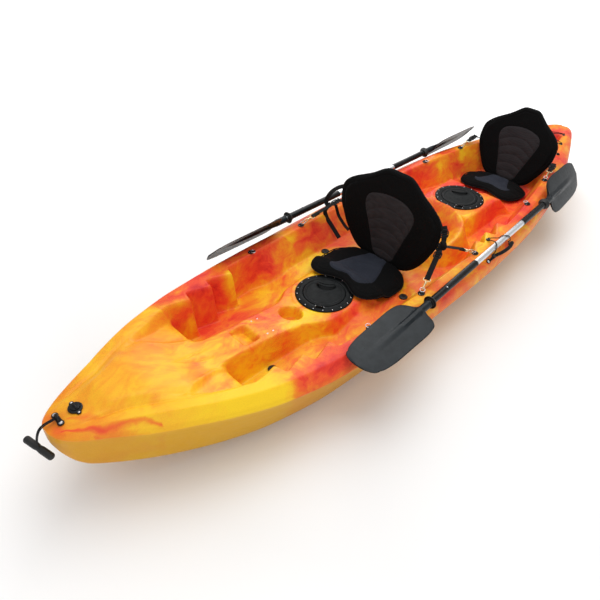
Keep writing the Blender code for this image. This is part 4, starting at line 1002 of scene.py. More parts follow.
def make_hull():
    ys = hull_stations()
    across, below = 118, 44
    u = np.linspace(0, 1, across + 1)
    u = 1 - (1 - u) ** 1.12
    rows, lower_side_shade_mark = [], []
    for y in ys:
        slim = float(narrow(y))
        outer = float(along(y, BEAM)) - 0.012 * slim - 0.006 * slim
        x = u * outer
        z = DECK.height(x, np.full_like(x, y))
        low = lower_section(float(y), (x[-1], z[-1]), below)
        port = np.concatenate([np.stack([x[:-1], z[:-1]], 1), low])
        # Painted shade mark down the hull's side: a little just below the deck's edge and most below the chine, where
        # the hull material darkens the colour.
        reach = np.linspace(0, 16, below)
        mark = np.concatenate([np.zeros(across), 0.20 * ramp((reach - 0.4) / 1.2) + 0.80 * ramp((reach - 2.9) / 0.6)])
        starboard = port[::-1][1:-1] * (-1, 1)
        rows.append(np.concatenate([port, starboard]))
        lower_side_shade_mark.append(np.concatenate([mark, mark[::-1][1:-1]]))
    rows = np.array(rows)
    count, ring = rows.shape[:2]
    verts = np.zeros((count, ring, 3))
    verts[:, :, 0] = rows[:, :, 0]
    verts[:, :, 1] = ys[:, None]
    verts[:, :, 2] = rows[:, :, 1]
    verts = verts.reshape(-1, 3)
    k, i = np.meshgrid(np.arange(count - 1), np.arange(ring), indexing="ij")
    k, i = k.ravel(), i.ravel()
    j = (i + 1) % ring
    quads = np.stack([k * ring + i, k * ring + j, (k + 1) * ring + j, (k + 1) * ring + i], 1)
    centre = verts[quads].mean(1)
    keep = np.ones(len(quads), bool)
    for hatch_y, level in HATCHES.values():
        reach = np.hypot(centre[:, 0], centre[:, 1] - hatch_y)
        keep &= ~((reach < HATCH_HOLE) & (centre[:, 2] > level - 0.03))
    quads = quads[keep]
    mesh = mesh_from_arrays("hull_shell", verts, quads)
    bm = bmesh.new()
    bm.from_mesh(mesh)
    # The 'side' layer carries the painted shade mark to the hull material.
    side = bm.verts.layers.float.new("side")
    marks = np.array(lower_side_shade_mark).ravel()
    bm.verts.ensure_lookup_table()
    for v in bm.verts:
        v[side] = marks[v.index]
    loops = {end: [bm.verts[end * ring + i] for i in range(ring)] for end in (0, count - 1)}
    for end, loop in loops.items():
        middle = sum((v.co for v in loop), Vector()) / ring
        tip = bm.verts.new(middle)
        tip[side] = 0.5
        for a, b in zip(loop, loop[1:] + loop[:1]):
            bm.faces.new((a, b, tip) if end else (b, a, tip))
    bmesh.ops.recalc_face_normals(bm, faces=bm.faces)
    bm.to_mesh(mesh)
    bm.free()
    hull = dress("hull_shell", mesh, "kayak", HULL, "hull", sharp=50)
    return hull


make_hull()


# ------------------------------------------------------------------ placing fittings on the deck


def surface(x, y):
    return Vector((x, y, float(crown_height(x, y)) if abs(x) > float(inner_edge(y)) else float(deck_height(x, y))))


def on_deck(x, y, lift):
    """A matrix that stands a fitting on the deck, square to the surface there."""
    step = 0.004
    ahead = surface(x, y + step) - surface(x, y - step)
    across = surface(x + step, y) - surface(x - step, y)
    up = across.cross(ahead).normalized()
    along_y = (ahead - up * ahead.dot(up)).normalized()
    placed = Matrix((along_y.cross(up), along_y, up)).transposed().to_4x4()
    placed.translation = surface(x, y) + lift * up
    return placed


def skin(x, y):
    """Height of the visible deck."""
    return float(DECK.sample(x, y))


def screw_head(radius, height):
    """A pan-head screw with a dimpled drive."""
    return lathe([(0, -0.4 * height), (0.86 * radius, -0.4 * height), (radius, 0), (0.97 * radius, 0.35 * height),
                  (0.80 * radius, 0.78 * height), (0.50 * radius, height), (0.42 * radius, height),
                  (0.30 * radius, 0.45 * height), (0, 0.35 * height)], 20, closed_profile=False)


def washer(inner, outer, thick):
    return lathe([(inner, 0), (outer, 0), (outer, 0.7 * thick), (0.96 * outer, thick), (inner * 1.04, thick),
                  (inner, 0.7 * thick)], 28)


def dome(radius, height, steps=8, segments=36):
    profile = [(radius, 0)]
    for k in range(1, steps):
        a = 0.5 * math.pi * k / steps
        profile.append((radius * math.cos(a), height * math.sin(a)))
    return lathe([(0, 0)] + profile + [(0, height)], segments)


# ------------------------------------------------------------------ hatches

HINGE_ANGLE = math.radians(-58)
HINGE_REACH = 0.1095
RIM_SCREWS = 18


def make_hatch(end):
    y, level = HATCHES[end]
    middle = Vector((0, y, level))
    way = Vector((math.cos(HINGE_ANGLE), math.sin(HINGE_ANGLE), 0))
    pin = Vector((-way.y, way.x, 0))
    hinge = middle + Vector((0, 0, 0.0118)) + HINGE_REACH * way

    rim = Shape()
    profile = [(0.1002, -0.026), (0.1045, -0.026), (0.1045, 0.0003), (0.1348, 0.0003), (0.1352, 0.0022),
               (0.1340, 0.0046), (0.1318, 0.0060), (0.1180, 0.0066), (0.1172, 0.0059), (0.1160, 0.0059),
               (0.1152, 0.0067), (0.1030, 0.0067), (0.1008, 0.0060), (0.1002, 0.0045)]
    rim.add(*lathe(profile, 144), Matrix.Translation(middle))
    steel = Shape()
    for k in range(RIM_SCREWS):
        a = 2 * math.pi * (k + 0.5) / RIM_SCREWS
        spot = middle + Vector((0.1256 * math.cos(a), 0.1256 * math.sin(a), 0.0060))
        rim.add(*lathe([(0.0046, -0.001), (0.0052, 0.0002), (0.0048, 0.0010), (0.0037, 0.0010), (0.0036, -0.001)], 20),
                Matrix.Translation(spot))
        steel.add(*screw_head(0.0029, 0.0016), Matrix.Translation(spot))
    for start in (-0.0185, 0.0095):
        rim.add(*sweep([hinge + pin * (start + s) for s in (0, 0.0004, 0.0045, 0.0086, 0.009)],
                       lambda t: 0.0038 - 0.0006 * (abs(2 * t - 1) > 0.99), 20))
        lug = Matrix.Translation(hinge + pin * (start + 0.0045) + Vector((0, 0, -0.0050))) @ Matrix.Rotation(
            HINGE_ANGLE, 4, "Z")
        rim.add(*box_shape((0.0080, 0.0088, 0.0086), 0.0009), lug)
    steel.add(*sweep([hinge + pin * s for s in (-0.0205, -0.0195, 0, 0.0195, 0.0205)], 0.0016, 12))
    rim.make(f"{end}_rim_moulding", "kayak", HATCH, "black_nylon", f"{end}_hatch_rim", 30)
    steel.make(f"{end}_rim_screws", "kayak", STEEL, "stainless")

    # The lid's face is a height field in polar form: a shallow dish, a raised ring and the hand grip.
    grip = -0.048 * way
    rows, spokes = 74, 168
    verts, faces = [], []
    reach_steps = [0.0955 * (i / rows) ** 0.9 for i in range(rows + 1)] + [0.0968, 0.0980, 0.0985]
    for i, reach in enumerate(reach_steps):
        for k in range(spokes):
            a = 2 * math.pi * k / spokes
            x, v = reach * math.cos(a), reach * math.sin(a)
            z = 0.0080 - 0.0011 * float(soft_step(reach - 0.082, 0.004))
            z += 0.0007 * math.exp(-((reach - 0.0865) / 0.0022) ** 2)
            z -= 0.0022 * max(0.0, (reach - 0.0955) / 0.003) ** 2
            local = Vector((x, v, 0)) - grip
            across, deep = local.dot(pin), local.dot(way)
            bow = deep - 0.009 + 8.0 * across * across
            inside = math.hypot(max(0.0, abs(across) - 0.025), bow) - 0.0190
            z -= 0.0090 * float(soft_step(inside, 0.0042))
            z += 0.0009 * math.exp(-((inside - 0.0040) / 0.0020) ** 2)
            verts.append((x, v, z))
    n = len(reach_steps)
    for i in range(n - 1):
        for k in range(spokes):
            j = (k + 1) % spokes
            faces.append((i * spokes + k, (i + 1) * spokes + k, (i + 1) * spokes + j, i * spokes + j))
    lid = Shape()
    lid.add(verts, faces, Matrix.Translation(middle))
    lid.add(*lathe([(0.0985, 0.0059), (0.0985, 0.0005), (0.0960, -0.0005), (0.0955, -0.0155), (0.0925, -0.0160),
                    (0.0900, -0.0150), (0.0882, -0.0098), (0.0, -0.0098)], spokes, closed_profile=False),
            Matrix.Translation(middle))
    bar = [middle + grip + pin * s + way * w + Vector((0, 0, h)) for s, w, h in
           ((-0.044, -0.013, 0.0040), (-0.036, -0.0055, 0.0094), (-0.021, 0.0025, 0.0112), (0, 0.0065, 0.0118),
            (0.021, 0.0025, 0.0112), (0.036, -0.0055, 0.0094), (0.044, -0.013, 0.0040))]
    lid.add(*sweep(curve_points(bar, 0.0018), lambda t: 0.0062 - 0.0014 * abs(2 * t - 1), 16, scale=(1.3, 0.66)))
    lid.add(*sweep([hinge + pin * s for s in (-0.009, -0.0086, 0, 0.0086, 0.009)],
                   lambda t: 0.0039 - 0.0006 * (abs(2 * t - 1) > 0.99), 20))
    tab = Matrix.Translation(hinge - 0.0105 * way + Vector((0, 0, -0.0028))) @ Matrix.Rotation(HINGE_ANGLE, 4, "Z")
    lid.add(*box_shape((0.0190, 0.0176, 0.0036), 0.0011), tab)
    lid.make(f"{end}_lid_moulding", f"{end}_lid", HATCH, "black_nylon", f"{end}_hatch_lid", 28)


make_hatch("front")
make_hatch("rear")


# ------------------------------------------------------------------ deck eyes

STRAPS = {
    "front_port_forward": ((0.306, -0.136, 0.385), 1, 1),
    "front_starboard_forward": ((-0.306, -0.136, 0.385), 1, -1),
    "front_port_aft": ((0.270, -0.098, 0.385), 2, 1),
    "front_starboard_aft": ((-0.270, -0.098, 0.385), 2, -1),
    "rear_port_forward": ((0.262, 1.105, 0.385), 4, 1),
    "rear_starboard_forward": ((-0.262, 1.105, 0.385), 4, -1),
}
PULLS = {(eye, side): Vector(start) for start, eye, side in STRAPS.values()}


def eye_frame(y, side):
    return on_deck(side * (float(along(y, BEAM)) - EYE_INSET), y, 0.0009)


def eye_hole(y, side):
    return eye_frame(y, side) @ Vector((0, 0, 0.0095))


def torus(centre, axis_a, axis_b, radius, wire, count=40, sides=12):
    turns = [2 * math.pi * k / count for k in range(count)]
    points = [centre + radius * (math.cos(a) * axis_a + math.sin(a) * axis_b) for a in turns]
    return sweep(points, wire, sides, closed=True, up=tuple(axis_a.cross(axis_b)))


def make_eye(number, y, word, side):
    """A nylon dome on an oval foot, with two screws and a wire ring."""
    placed = eye_frame(y, side)
    pull = PULLS.get((number, side))
    base = Shape()
    foot = [(0, 0.0002), (0.0150, 0.0002), (0.0156, 0.0012), (0.0148, 0.0026), (0.0118, 0.0034), (0.0098, 0.0046),
            (0.0088, 0.0066), (0.0070, 0.0090), (0.0044, 0.0104), (0, 0.0108)]
    base.add(*lathe(foot, 40), placed @ Matrix.Diagonal((1.0, 1.12, 1.0, 1.0)))
    steel = Shape()
    hole = eye_hole(y, side)
    way = (pull - hole).normalized() if pull else Vector((-side * 0.9, 0.1, -0.05)).normalized()
    cross = way.cross(Vector((0, 0, 1))).normalized()
    steel.add(*torus(hole + RING_RADIUS * way, way, cross, RING_RADIUS, 0.0015))
    for s in (-0.0128, 0.0128):
        steel.add(*screw_head(0.0022, 0.0012), placed @ shift(0, s, 0.0033))
    name = f"deck_eye_{word}_{number + 1}"
    base.make(name + "_dome", "kayak", NYLON, "black_nylon", name, 40)
    steel.make(name + "_wire", "kayak", STEEL, "stainless")


for number, y in enumerate(EYE_STATIONS):
    for side, word in SIDES:
        make_eye(number, y, word, side)


# ------------------------------------------------------------------ scupper plugs


def make_plug(name, body, x, y):
    around = [float(deck_height(x + dx, y + dy)) for dx in (-0.019, 0, 0.019) for dy in (-0.019, 0, 0.019)]
    placed = shift(x, y, max(around))
    plug = Shape()
    profile = [(0, -0.045), (0.0120, -0.045), (0.0140, -0.0430), (0.0148, -0.036), (0.0142, -0.034), (0.0150, -0.026),
               (0.0144, -0.024), (0.0152, -0.015), (0.0146, -0.013), (0.0154, -0.002), (0.0154, 0.0006),
               (0.0192, 0.0006), (0.0197, 0.0022), (0.0190, 0.0042), (0.0165, 0.0058), (0.0120, 0.0064),
               (0.0112, 0.0054), (0.0095, 0.0052), (0.0085, 0.0066), (0, 0.0070)]
    plug.add(*lathe(profile, 40), placed)
    loop = [Vector((0.0060 * math.cos(a), 0, 0.0060 + 0.0075 * math.sin(a))) for a in
            (math.pi * k / 13 for k in range(14))]
    plug.add(*sweep([placed @ p for p in loop], 0.0014, 10))
    plug.make(name + "_bung", body, RUBBER, "rubber", name, 32)


for side, word in SIDES:
    for x, y in SCUPPERS:
        end = "front" if y < -0.5 else "seat"
        make_plug(f"scupper_plug_{word}_{end}", f"{word}_{end}_plug", side * x, y)


# ------------------------------------------------------------------ bow

TOGGLE = Vector((-0.004, -1.884, 0.300))
BOW_EYE_Y = -1.803
DRAIN_Y = -1.743


def make_bow():
    top = float(deck_height(0, BOW_EYE_Y))
    pad = Shape()
    plate = [(0, 0.0), (0.0110, 0.0), (0.0114, 0.0014), (0.0108, 0.0040), (0.0092, 0.0050), (0, 0.0050)]
    for x in (-0.0195, 0.0195):
        pad.add(*lathe(plate, 32), shift(x, BOW_EYE_Y, top + 0.0017))
    pad.add(*box_shape((0.040, 0.0175, 0.0046), 0.0012, 3), shift(0, BOW_EYE_Y, top + 0.0040))
    arch = curve_points([(-0.0135, BOW_EYE_Y, top + 0.004), (-0.0118, BOW_EYE_Y, top + 0.014),
                         (-0.006, BOW_EYE_Y, top + 0.0200), (0, BOW_EYE_Y, top + 0.0215),
                         (0.006, BOW_EYE_Y, top + 0.0200), (0.0118, BOW_EYE_Y, top + 0.014),
                         (0.0135, BOW_EYE_Y, top + 0.004)], 0.0015)
    pad.add(*sweep(arch, 0.0036, 16, up=(0, 1, 0), scale=(1.0, 1.5)))
    pad.make("bow_eye_casting", "kayak", NYLON, "black_nylon", "bow_pad_eye", 40)
    steel = Shape()
    for x in (-0.0205, 0.0205):
        steel.add(*screw_head(0.0050, 0.0026), shift(x, BOW_EYE_Y, top + 0.0068))
        steel.add(*washer(0.0035, 0.0066, 0.0008), shift(x, BOW_EYE_Y, top + 0.0064))
    level = float(deck_height(0, DRAIN_Y))
    base = Shape()
    base.add(*lathe([(0.0125, 0.0002), (0.0225, 0.0002), (0.0236, 0.0016), (0.0230, 0.0050), (0.0205, 0.0062),
                     (0.0160, 0.0066), (0.0132, 0.0062), (0.0125, 0.0050)], 56),
             shift(0, DRAIN_Y, level + 0.0012))
    for x in (-0.0245, 0.0245):
        base.add(*lathe([(0, 0.0), (0.0078, 0.0), (0.0082, 0.0012), (0.0076, 0.0036), (0, 0.0040)], 28),
                 shift(x, DRAIN_Y, level + 0.0016))
        steel.add(*screw_head(0.0040, 0.0020), shift(x * 1.04, DRAIN_Y, level + 0.0056))
    base.make("drain_flange", "kayak", NYLON, "black_nylon", "drain_base", 40)
    steel.make("bow_screws", "kayak", STEEL, "stainless")
    plug = Shape()
    rim = []
    segments = 48
    for radius, height, lobed in ((0.0, 0.0015, 0), (0.0118, 0.0015, 0), (0.0120, 0.0074, 0), (0.0146, 0.0080, 1),
                                  (0.0152, 0.0092, 1), (0.0150, 0.0106, 1), (0.0138, 0.0116, 0), (0.0, 0.0120, 0)):
        for k in range(segments):
            a = 2 * math.pi * k / segments
            r = radius + 0.0006 * lobed * math.cos(12 * a)
            rim.append((r * math.cos(a), r * math.sin(a), height))
    plug.add(rim, rings_faces(8, segments, caps=False), shift(0, DRAIN_Y, level))
    plug.add(*box_shape((0.0265, 0.0052, 0.0080), 0.0018, 3), shift(0, DRAIN_Y, level + 0.0135))
    plug.make("drain_cap", "drain", NYLON, "black_nylon", "drain_plug", 35)

    # The toggle: a ribbed bar with rounded ends and a waist where its cord comes out.
    slant = Vector((1, 0.3, -0.22))
    unit = slant.normalized()
    half = 0.056 * slant.length
    bar = Shape()
    points = [TOGGLE + unit * half * math.sin(math.pi / 2 * (k / 60 - 1)) for k in range(121)]

    def thickness(share):
        t = math.sin(math.pi / 2 * (2 * share - 1))
        end = math.sqrt(max(0.0, 1 - max(0.0, (abs(t) - 0.84) / 0.16) ** 2.4))
        rib = 0.00055 * math.cos(t * 62) if 0.16 < abs(t) < 0.84 else 0.0
        return max(0.0006, (0.0124 - 0.0016 * math.exp(-(t / 0.13) ** 2) + rib) * end)

    bar.add(*sweep(points, thickness, 28))
    for strand in (-0.0042, 0.0042):
        spot = TOGGLE + Vector((strand, 0, 0.0105))
        bar.add(*lathe([(0.0030, 0), (0.0044, 0), (0.0040, 0.0030), (0.0031, 0.0034)], 20), at(spot, (0, 0.15, 1)))
    bar.make("bow_toggle_grip", "toggle", RUBBER, "rubber", "bow_toggle", 60)

    top_cord = top
    route = ((-0.078, -1.884), (-0.056, -1.884), (-0.036, -1.881), (-0.014, -1.8735), (0.0035, -1.862),
             (0.0115, -1.845), (0.0125, -1.825), (0.0125, -1.804))
    for number, strand in enumerate((-0.0036, 0.0036)):
        points = [Vector((strand * (1 - 0.2 * k / 7) - 0.004 * (1 - k / 7), y, top_cord + rise))
                  for k, (rise, y) in enumerate(route)]
        points = curve_points(points, 0.0035)
        curve = bpy.data.curves.new(f"toggle_cord_{number}", "CURVE")
        curve.dimensions = "3D"
        curve.bevel_depth = 0.0023
        curve.bevel_resolution = 5
        curve.use_fill_caps = True
        spline = curve.splines.new("POLY")
        spline.points.add(len(points) - 1)
        for point, place in zip(spline.points, reversed(points)):
            point.co = (*place, 1)
        curve.materials.append(BUNGEE)
        cord = put_in_scene(bpy.data.objects.new(f"toggle_cord_{number}", curve))
        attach(cord, "toggle")
        if number == 0:
            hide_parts("bow_toggle_cord")


make_bow()


# ------------------------------------------------------------------ paddles

BUTTON_Y = -0.27
BARE_FROM = -0.01
BARE_TO = 0.46
BLADE_WIDTH = ((0.0, 0.0172), (0.03, 0.0172), (0.05, 0.030), (0.07, 0.070), (0.10, 0.094), (0.16, 0.101),
               (0.25, 0.099), (0.35, 0.096), (0.42, 0.086), (0.46, 0.060), (0.475, 0.030))
BLADE_SPINE = ((0.0, 0.0172), (0.05, 0.0168), (0.12, 0.0125), (0.30, 0.0085), (0.40, 0.0035), (0.475, 0.0022))
BLADE_ROLLS = {"port": (0, 58), "starboard": (50, -53)}
BLADE_BENDS = {"port": (0.0, -0.10), "starboard": (0.0, 0.0)}
TIP = 0.4795


def shaft_ends(word):
    return [Vector(p) for p in SHAFTS[word]]


def shaft_point(word, y):
    front, rear = shaft_ends(word)
    return front.lerp(rear, (y - front.y) / (rear.y - front.y))


def blade_half_width(s):
    """Half the blade's width at a distance from its socket, rounded off at the tip."""
    if s < 0.44:
        return float(along(s, BLADE_WIDTH))
    near = float(along(0.44, BLADE_WIDTH))
    t = min(1.0, (s - 0.44) / (TIP - 0.44))
    return near * math.sqrt(max(0.0, 1 - t ** 2.3))


def make_blade(name, body, centre, way, roll, bend, replaced):
    side = Vector((0, 0, 1)).cross(way).normalized()
    up = way.cross(side)
    wide = math.cos(roll) * side + math.sin(roll) * up
    face = way.cross(wide)
    stops = [0.005 * k for k in range(10)] + [0.049 + 0.391 * k / 73 for k in range(74)]
    stops += [0.44 + (TIP - 0.44) * math.sin(math.pi / 2 * k / 18) for k in range(1, 19)]
    columns = 46
    verts = []
    for s in stops:
        half = max(blade_half_width(s), 0.0004)
        spine = float(along(s, BLADE_SPINE))
        axis = centre + s * way + bend * s * s * face
        blade = float(ramp((s - 0.046) / 0.026))
        thin = 0.0017 + 0.0012 * math.exp(-((s - 0.08) / 0.05) ** 2)
        ring = []
        for k in range(2 * columns):
            a = 2 * math.pi * (k + 0.5) / (2 * columns)
            u, v = math.cos(a), math.sin(a)
            # A round socket opens out into a flat blade with a raised, flat-topped spine.
            round_ = (0.0172 * u, 0.0172 * v)
            t = math.copysign(abs(u) ** 0.75, u)
            x = half * t
            ridge_half = 0.0165 - 0.0085 * min(1.0, s / 0.42)
            shoulder = float(soft_step(abs(x) - ridge_half, 0.009))
            rib = max(0.0, spine - thin - 0.0006) * shoulder * (1 - float(ramp((s - 0.40) / 0.07)))
            rim = 0.0010 * math.exp(-((half - abs(x) - 0.003) / 0.0022) ** 2)
            edge = math.sqrt(max(0.0, 1 - abs(t) ** 14))
            h = (thin + rib + rim) * edge * math.copysign(1, v)
            cup = -0.0045 * (t * t) * blade
            flat = (x, h + cup)
            ring.append(axis + ((1 - blade) * round_[0] + blade * flat[0]) * wide
                        + ((1 - blade) * round_[1] + blade * flat[1]) * face)
        verts += ring
    made = Shape()
    made.add(verts, rings_faces(len(stops), 2 * columns))
    made.add(*lathe([(0.0166, 0.0), (0.0181, 0.0004), (0.0184, 0.0020), (0.0181, 0.0075), (0.0172, 0.0085)], 40,
                    closed_profile=False), at(centre + 0.001 * way, way))
    made.make(name, body, BLADE, "blade_plastic", replaced, 40)


def make_paddle(word, side):
    front, rear = shaft_ends(word)
    way = (rear - front).normalized()
    body = f"{word}_paddle"
    upright = Vector((0.35 * side, -0.2, 0.9))
    out = (upright - way * way.dot(upright)).normalized()
    spot = shaft_point(word, BUTTON_Y)
    shaft = Shape()
    count = 90
    points = [(front - 0.030 * way).lerp(rear + 0.030 * way, k / count) for k in range(count + 1)]
    shaft.add(*sweep(points, SHAFT_RADIUS, 40))
    shaft.make(f"paddle_tube_{word}", body, ALUMINIUM, "aluminium", f"paddle_shaft_{word}", 40)
    for end, start, stop in (("front", front + 0.004 * way, shaft_point(word, BARE_FROM)),
                             ("rear", shaft_point(word, BARE_TO), rear - 0.004 * way)):
        sleeve = Shape()
        length = (stop - start).length
        profile = [(0.0149, 0.0), (0.0156, 0.0), (0.0162, 0.0008), (0.0162, 0.0090), (0.0158, 0.0094), (0.0158, 0.0110),
                   (0.0162, 0.0114), (0.0162, length - 0.0114), (0.0158, length - 0.0110), (0.0158, length - 0.0094),
                   (0.0162, length - 0.0090), (0.0162, length - 0.0008), (0.0156, length), (0.0149, length)]
        sleeve.add(*lathe(profile, 48), at(start, stop - start))
        if end == "front":
            lip = [(0.0052, 0.0148), (0.0052, 0.0166), (0.0064, 0.0170), (0.0070, 0.0164), (0.0072, 0.0150)]
            sleeve.add(*lathe(lip, 28, closed_profile=False), at(spot, out))
        sleeve.make(f"shaft_grip_{word}_{end}", body, SLEEVE, "black_nylon", f"shaft_sleeve_{word}_{end}", 40)
    button = Shape()
    button.add(*lathe([(0, 0.011), (0.0041, 0.011), (0.0041, 0.0162), (0.0037, 0.0172), (0.0026, 0.0179), (0, 0.0182)],
                      28), at(spot, out))
    button.make(f"spring_button_{word}", f"{word}_button", STEEL, "stainless", f"paddle_button_{word}", 40)
    for end, centre, aim in (("front", front + 0.020 * way, -way), ("rear", rear - 0.020 * way, way)):
        ring = Shape()
        profile = [(0.0168, -0.0100), (0.0196, -0.0104), (0.0206, -0.0092), (0.0212, -0.0070), (0.0262, -0.0010),
                   (0.0296, 0.0038), (0.0300, 0.0052), (0.0294, 0.0068), (0.0284, 0.0070), (0.0268, 0.0048),
                   (0.0228, 0.0006), (0.0206, 0.0004), (0.0200, 0.0086), (0.0192, 0.0100), (0.0168, 0.0100)]
        ring.add(*lathe(profile, 56), at(centre, aim))
        ring.make(f"drip_cup_{word}_{end}", f"{word}_{end}_ring", RUBBER, "rubber", f"drip_ring_{word}_{end}", 40)
    rolls, bends = BLADE_ROLLS[word], BLADE_BENDS[word]
    make_blade(f"blade_{word}_front", f"{word}_front_blade", front, -way, math.radians(rolls[0]), bends[0],
               f"paddle_blade_{word}_front")
    make_blade(f"blade_{word}_rear", body, rear, way, math.radians(rolls[1]), bends[1], f"paddle_blade_{word}_rear")


for side, word in SIDES:
    make_paddle(word, side)


# ------------------------------------------------------------------ side handles and paddle bungees

HANDLE_X = 0.4385
HANDLE_TABS = (0.122, 0.330)
HANDLE_LIFT = 0.0112
HANDLE_BOW = ((0.452, 0.145, 0.3035), (0.463, 0.185, 0.3085), (0.467, 0.228, 0.3095), (0.464, 0.270, 0.3080),
              (0.453, 0.308, 0.3030))


def side_line(points, side):
    return [Vector((side * x, y, z)) for x, y, z in points]


def make_handle(word, side):
    """A carry handle: webbing through a wrapped rubber sleeve, its two ends screwed down."""
    first, last = [on_deck(side * HANDLE_X, y, HANDLE_LIFT).translation for y in HANDLE_TABS]
    route = curve_points([first, *side_line(HANDLE_BOW, side), last], 0.0011)
    count = len(route)
    grip = Shape()

    def thickness(share):
        wrap = 0.00045 * math.cos(share * count * 0.0011 / 0.0052 * 2 * math.pi)
        ends = float(ramp(min(share, 1 - share) / 0.10))
        return 0.0048 + (0.0034 + wrap) * ends

    grip.add(*sweep(route, thickness, 22))
    for share in (0.115, 0.885):
        k = int(share * (count - 1))
        way = (route[k + 2] - route[k - 2]).normalized()
        collar = [(0.0070, -0.0050), (0.0090, -0.0046), (0.0094, -0.0036), (0.0094, 0.0036), (0.0090, 0.0046),
                  (0.0070, 0.0050)]
        grip.add(*lathe(collar, 28), at(route[k], way), 1)
    grip.make(f"carry_grip_{word}", f"{word}_handle", [WEBBING, RUBBER], "webbing", f"side_handle_{word}", 50)
    tabs, steel = Shape(), Shape()
    for y, inward in zip(HANDLE_TABS, (1, -1)):
        placed = on_deck(side * HANDLE_X, y, 0.0012)
        outline = []
        for k in range(40):
            a = 2 * math.pi * k / 40
            r = 0.0118 if inward * math.sin(a) < 0 else 0.0098
            outline.append((r * math.cos(a), 1.35 * r * math.sin(a)))
        verts = []
        for scale, height in ((0.96, 0.0), (1.0, 0.0006), (1.0, 0.0026), (0.95, 0.0034), (0.0, 0.0036)):
            verts += [(scale * u, scale * v, height) for u, v in outline]
        tabs.add(verts, rings_faces(5, 40, caps=False), placed)
        tabs.add(*sweep([placed @ Vector((0, inward * s, h)) for s, h in
                         ((-0.004, 0.0030), (0.004, 0.0050), (0.012, 0.0085), (0.020, 0.0105))], 0.0042, 14,
                        scale=(1.5, 0.55)))
        steel.add(*washer(0.003, 0.0078, 0.0010), placed @ shift(0, -0.005 * inward, 0.0034))
        steel.add(*screw_head(0.0056, 0.0030), placed @ shift(0, -0.005 * inward, 0.0044))
    tabs.make(f"grip_tabs_{word}", "kayak", WEBBING, "webbing")
    steel.make(f"grip_screws_{word}", "kayak", STEEL, "stainless")


def make_bungee(word, side):
    """An elastic cord from one handle tab over the shaft, round its screw, and back to the other."""
    route = [Vector((side * 0.4365, 0.146, 0.2975)), Vector((side * 0.4435, 0.152, 0.313))]
    for y, turns in ((0.180, (25, 60, 95, 130, 160)), (0.268, (160, 130, 95, 60, 25))):
        for k, angle in enumerate(turns):
            rise = math.radians(angle)
            centre = shaft_point(word, y + 0.011 * (k - 2))
            reach = Vector((side * math.cos(rise), 0, math.sin(rise)))
            route.append(centre + 0.0182 * reach)
        if y < 0.2:
            route += side_line([(0.380, 0.222, 0.3225), (0.3655, 0.2335, 0.3150), (0.3610, 0.2430, 0.3145),
                                (0.3655, 0.2500, 0.3150), (0.380, 0.2490, 0.3235)], side)
    route += [Vector((side * 0.4425, 0.303, 0.315)), Vector((side * 0.4345, 0.3085, 0.3010))]
    cord = Shape()
    cord.add(*sweep(curve_points(route, 0.0022), 0.0022, 14))
    for end, after in ((route[0], route[1]), (route[-1], route[-2])):
        cord.add(*sweep([end, end.lerp(after, 0.25), end.lerp(after, 0.5), end.lerp(after, 0.9)],
                        lambda t: 0.0036 - 0.0010 * t, 14))
    made = cord.make(f"paddle_keeper_{word}", "kayak", BUNGEE, "bungee", f"paddle_bungee_{word}", 60)
    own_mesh(made)
    # The cord's middle is held by a clip and a screw on the gunwale's inner edge.
    placed = on_deck(side * 0.358, 0.2445, 0.0)
    level = skin(side * 0.358, 0.2445)
    placed.translation.z = level
    clip = Shape()
    clip.add(*lathe([(0, 0.0), (0.0105, 0.0), (0.0110, 0.0012), (0.0100, 0.0042), (0.0082, 0.0054), (0, 0.0056)], 36),
             placed @ shift(0, 0, 0.0006))
    hoop = [(0.0, -0.007, 0.004), (0.0, -0.0065, 0.010), (0.0, 0.0, 0.0135), (0.0, 0.0065, 0.010), (0.0, 0.007, 0.004)]
    clip.add(*sweep([placed @ Vector(p) for p in hoop], 0.0020, 12))
    clip.make(f"keeper_clip_{word}", "kayak", NYLON, "black_nylon")
    steel = Shape()
    steel.add(*screw_head(0.0052, 0.0028), placed @ shift(0, 0, 0.0062))
    steel.add(*washer(0.003, 0.0068, 0.0008), placed @ shift(0, 0, 0.0056))
    steel.make(f"keeper_screw_{word}", "kayak", STEEL, "stainless")


for side, word in SIDES:
    make_handle(word, side)
    make_bungee(word, side)


# ------------------------------------------------------------------ seats

PAD_LOBES = ((0.0, 0.2, 0.45, 0.6, 0.8, 0.92, 1.0), (0.13, 0.10, 0.015, 0.0, 0.05, 0.16, 0.40))
PADS = {
    "front": {"ends": (-0.478, -0.139), "half": 0.218,
              "base": lambda y: 0.167 + 0.0275 * (1 - float(ramp((y + 0.395) / 0.06)))},
    "rear": {"ends": (0.850, 1.077), "half": 0.197, "base": lambda y: 0.1845},
}
PAD_THICK = 0.034
BACKS = {
    "front": {"y": -0.113, "tilt": 6, "wings": 0.030, "body": "front_back", "shape":
              ((-0.085, 0.10), (-0.065, 0.155), (0.0, 0.220), (0.08, 0.262), (0.16, 0.288), (0.215, 0.288),
               (0.26, 0.254), (0.32, 0.150), (0.362, 0.085), (0.376, 0.05))},
    "rear": {"y": 1.118, "tilt": 18, "wings": 0.035, "body": "rear_back", "shape":
             ((-0.072, 0.09), (-0.052, 0.135), (0.01, 0.185), (0.08, 0.222), (0.14, 0.238), (0.195, 0.236),
              (0.245, 0.200), (0.30, 0.120), (0.345, 0.060), (0.36, 0.04))},
}
BACK_THICK = 0.034
SIM_FRAMES = 20


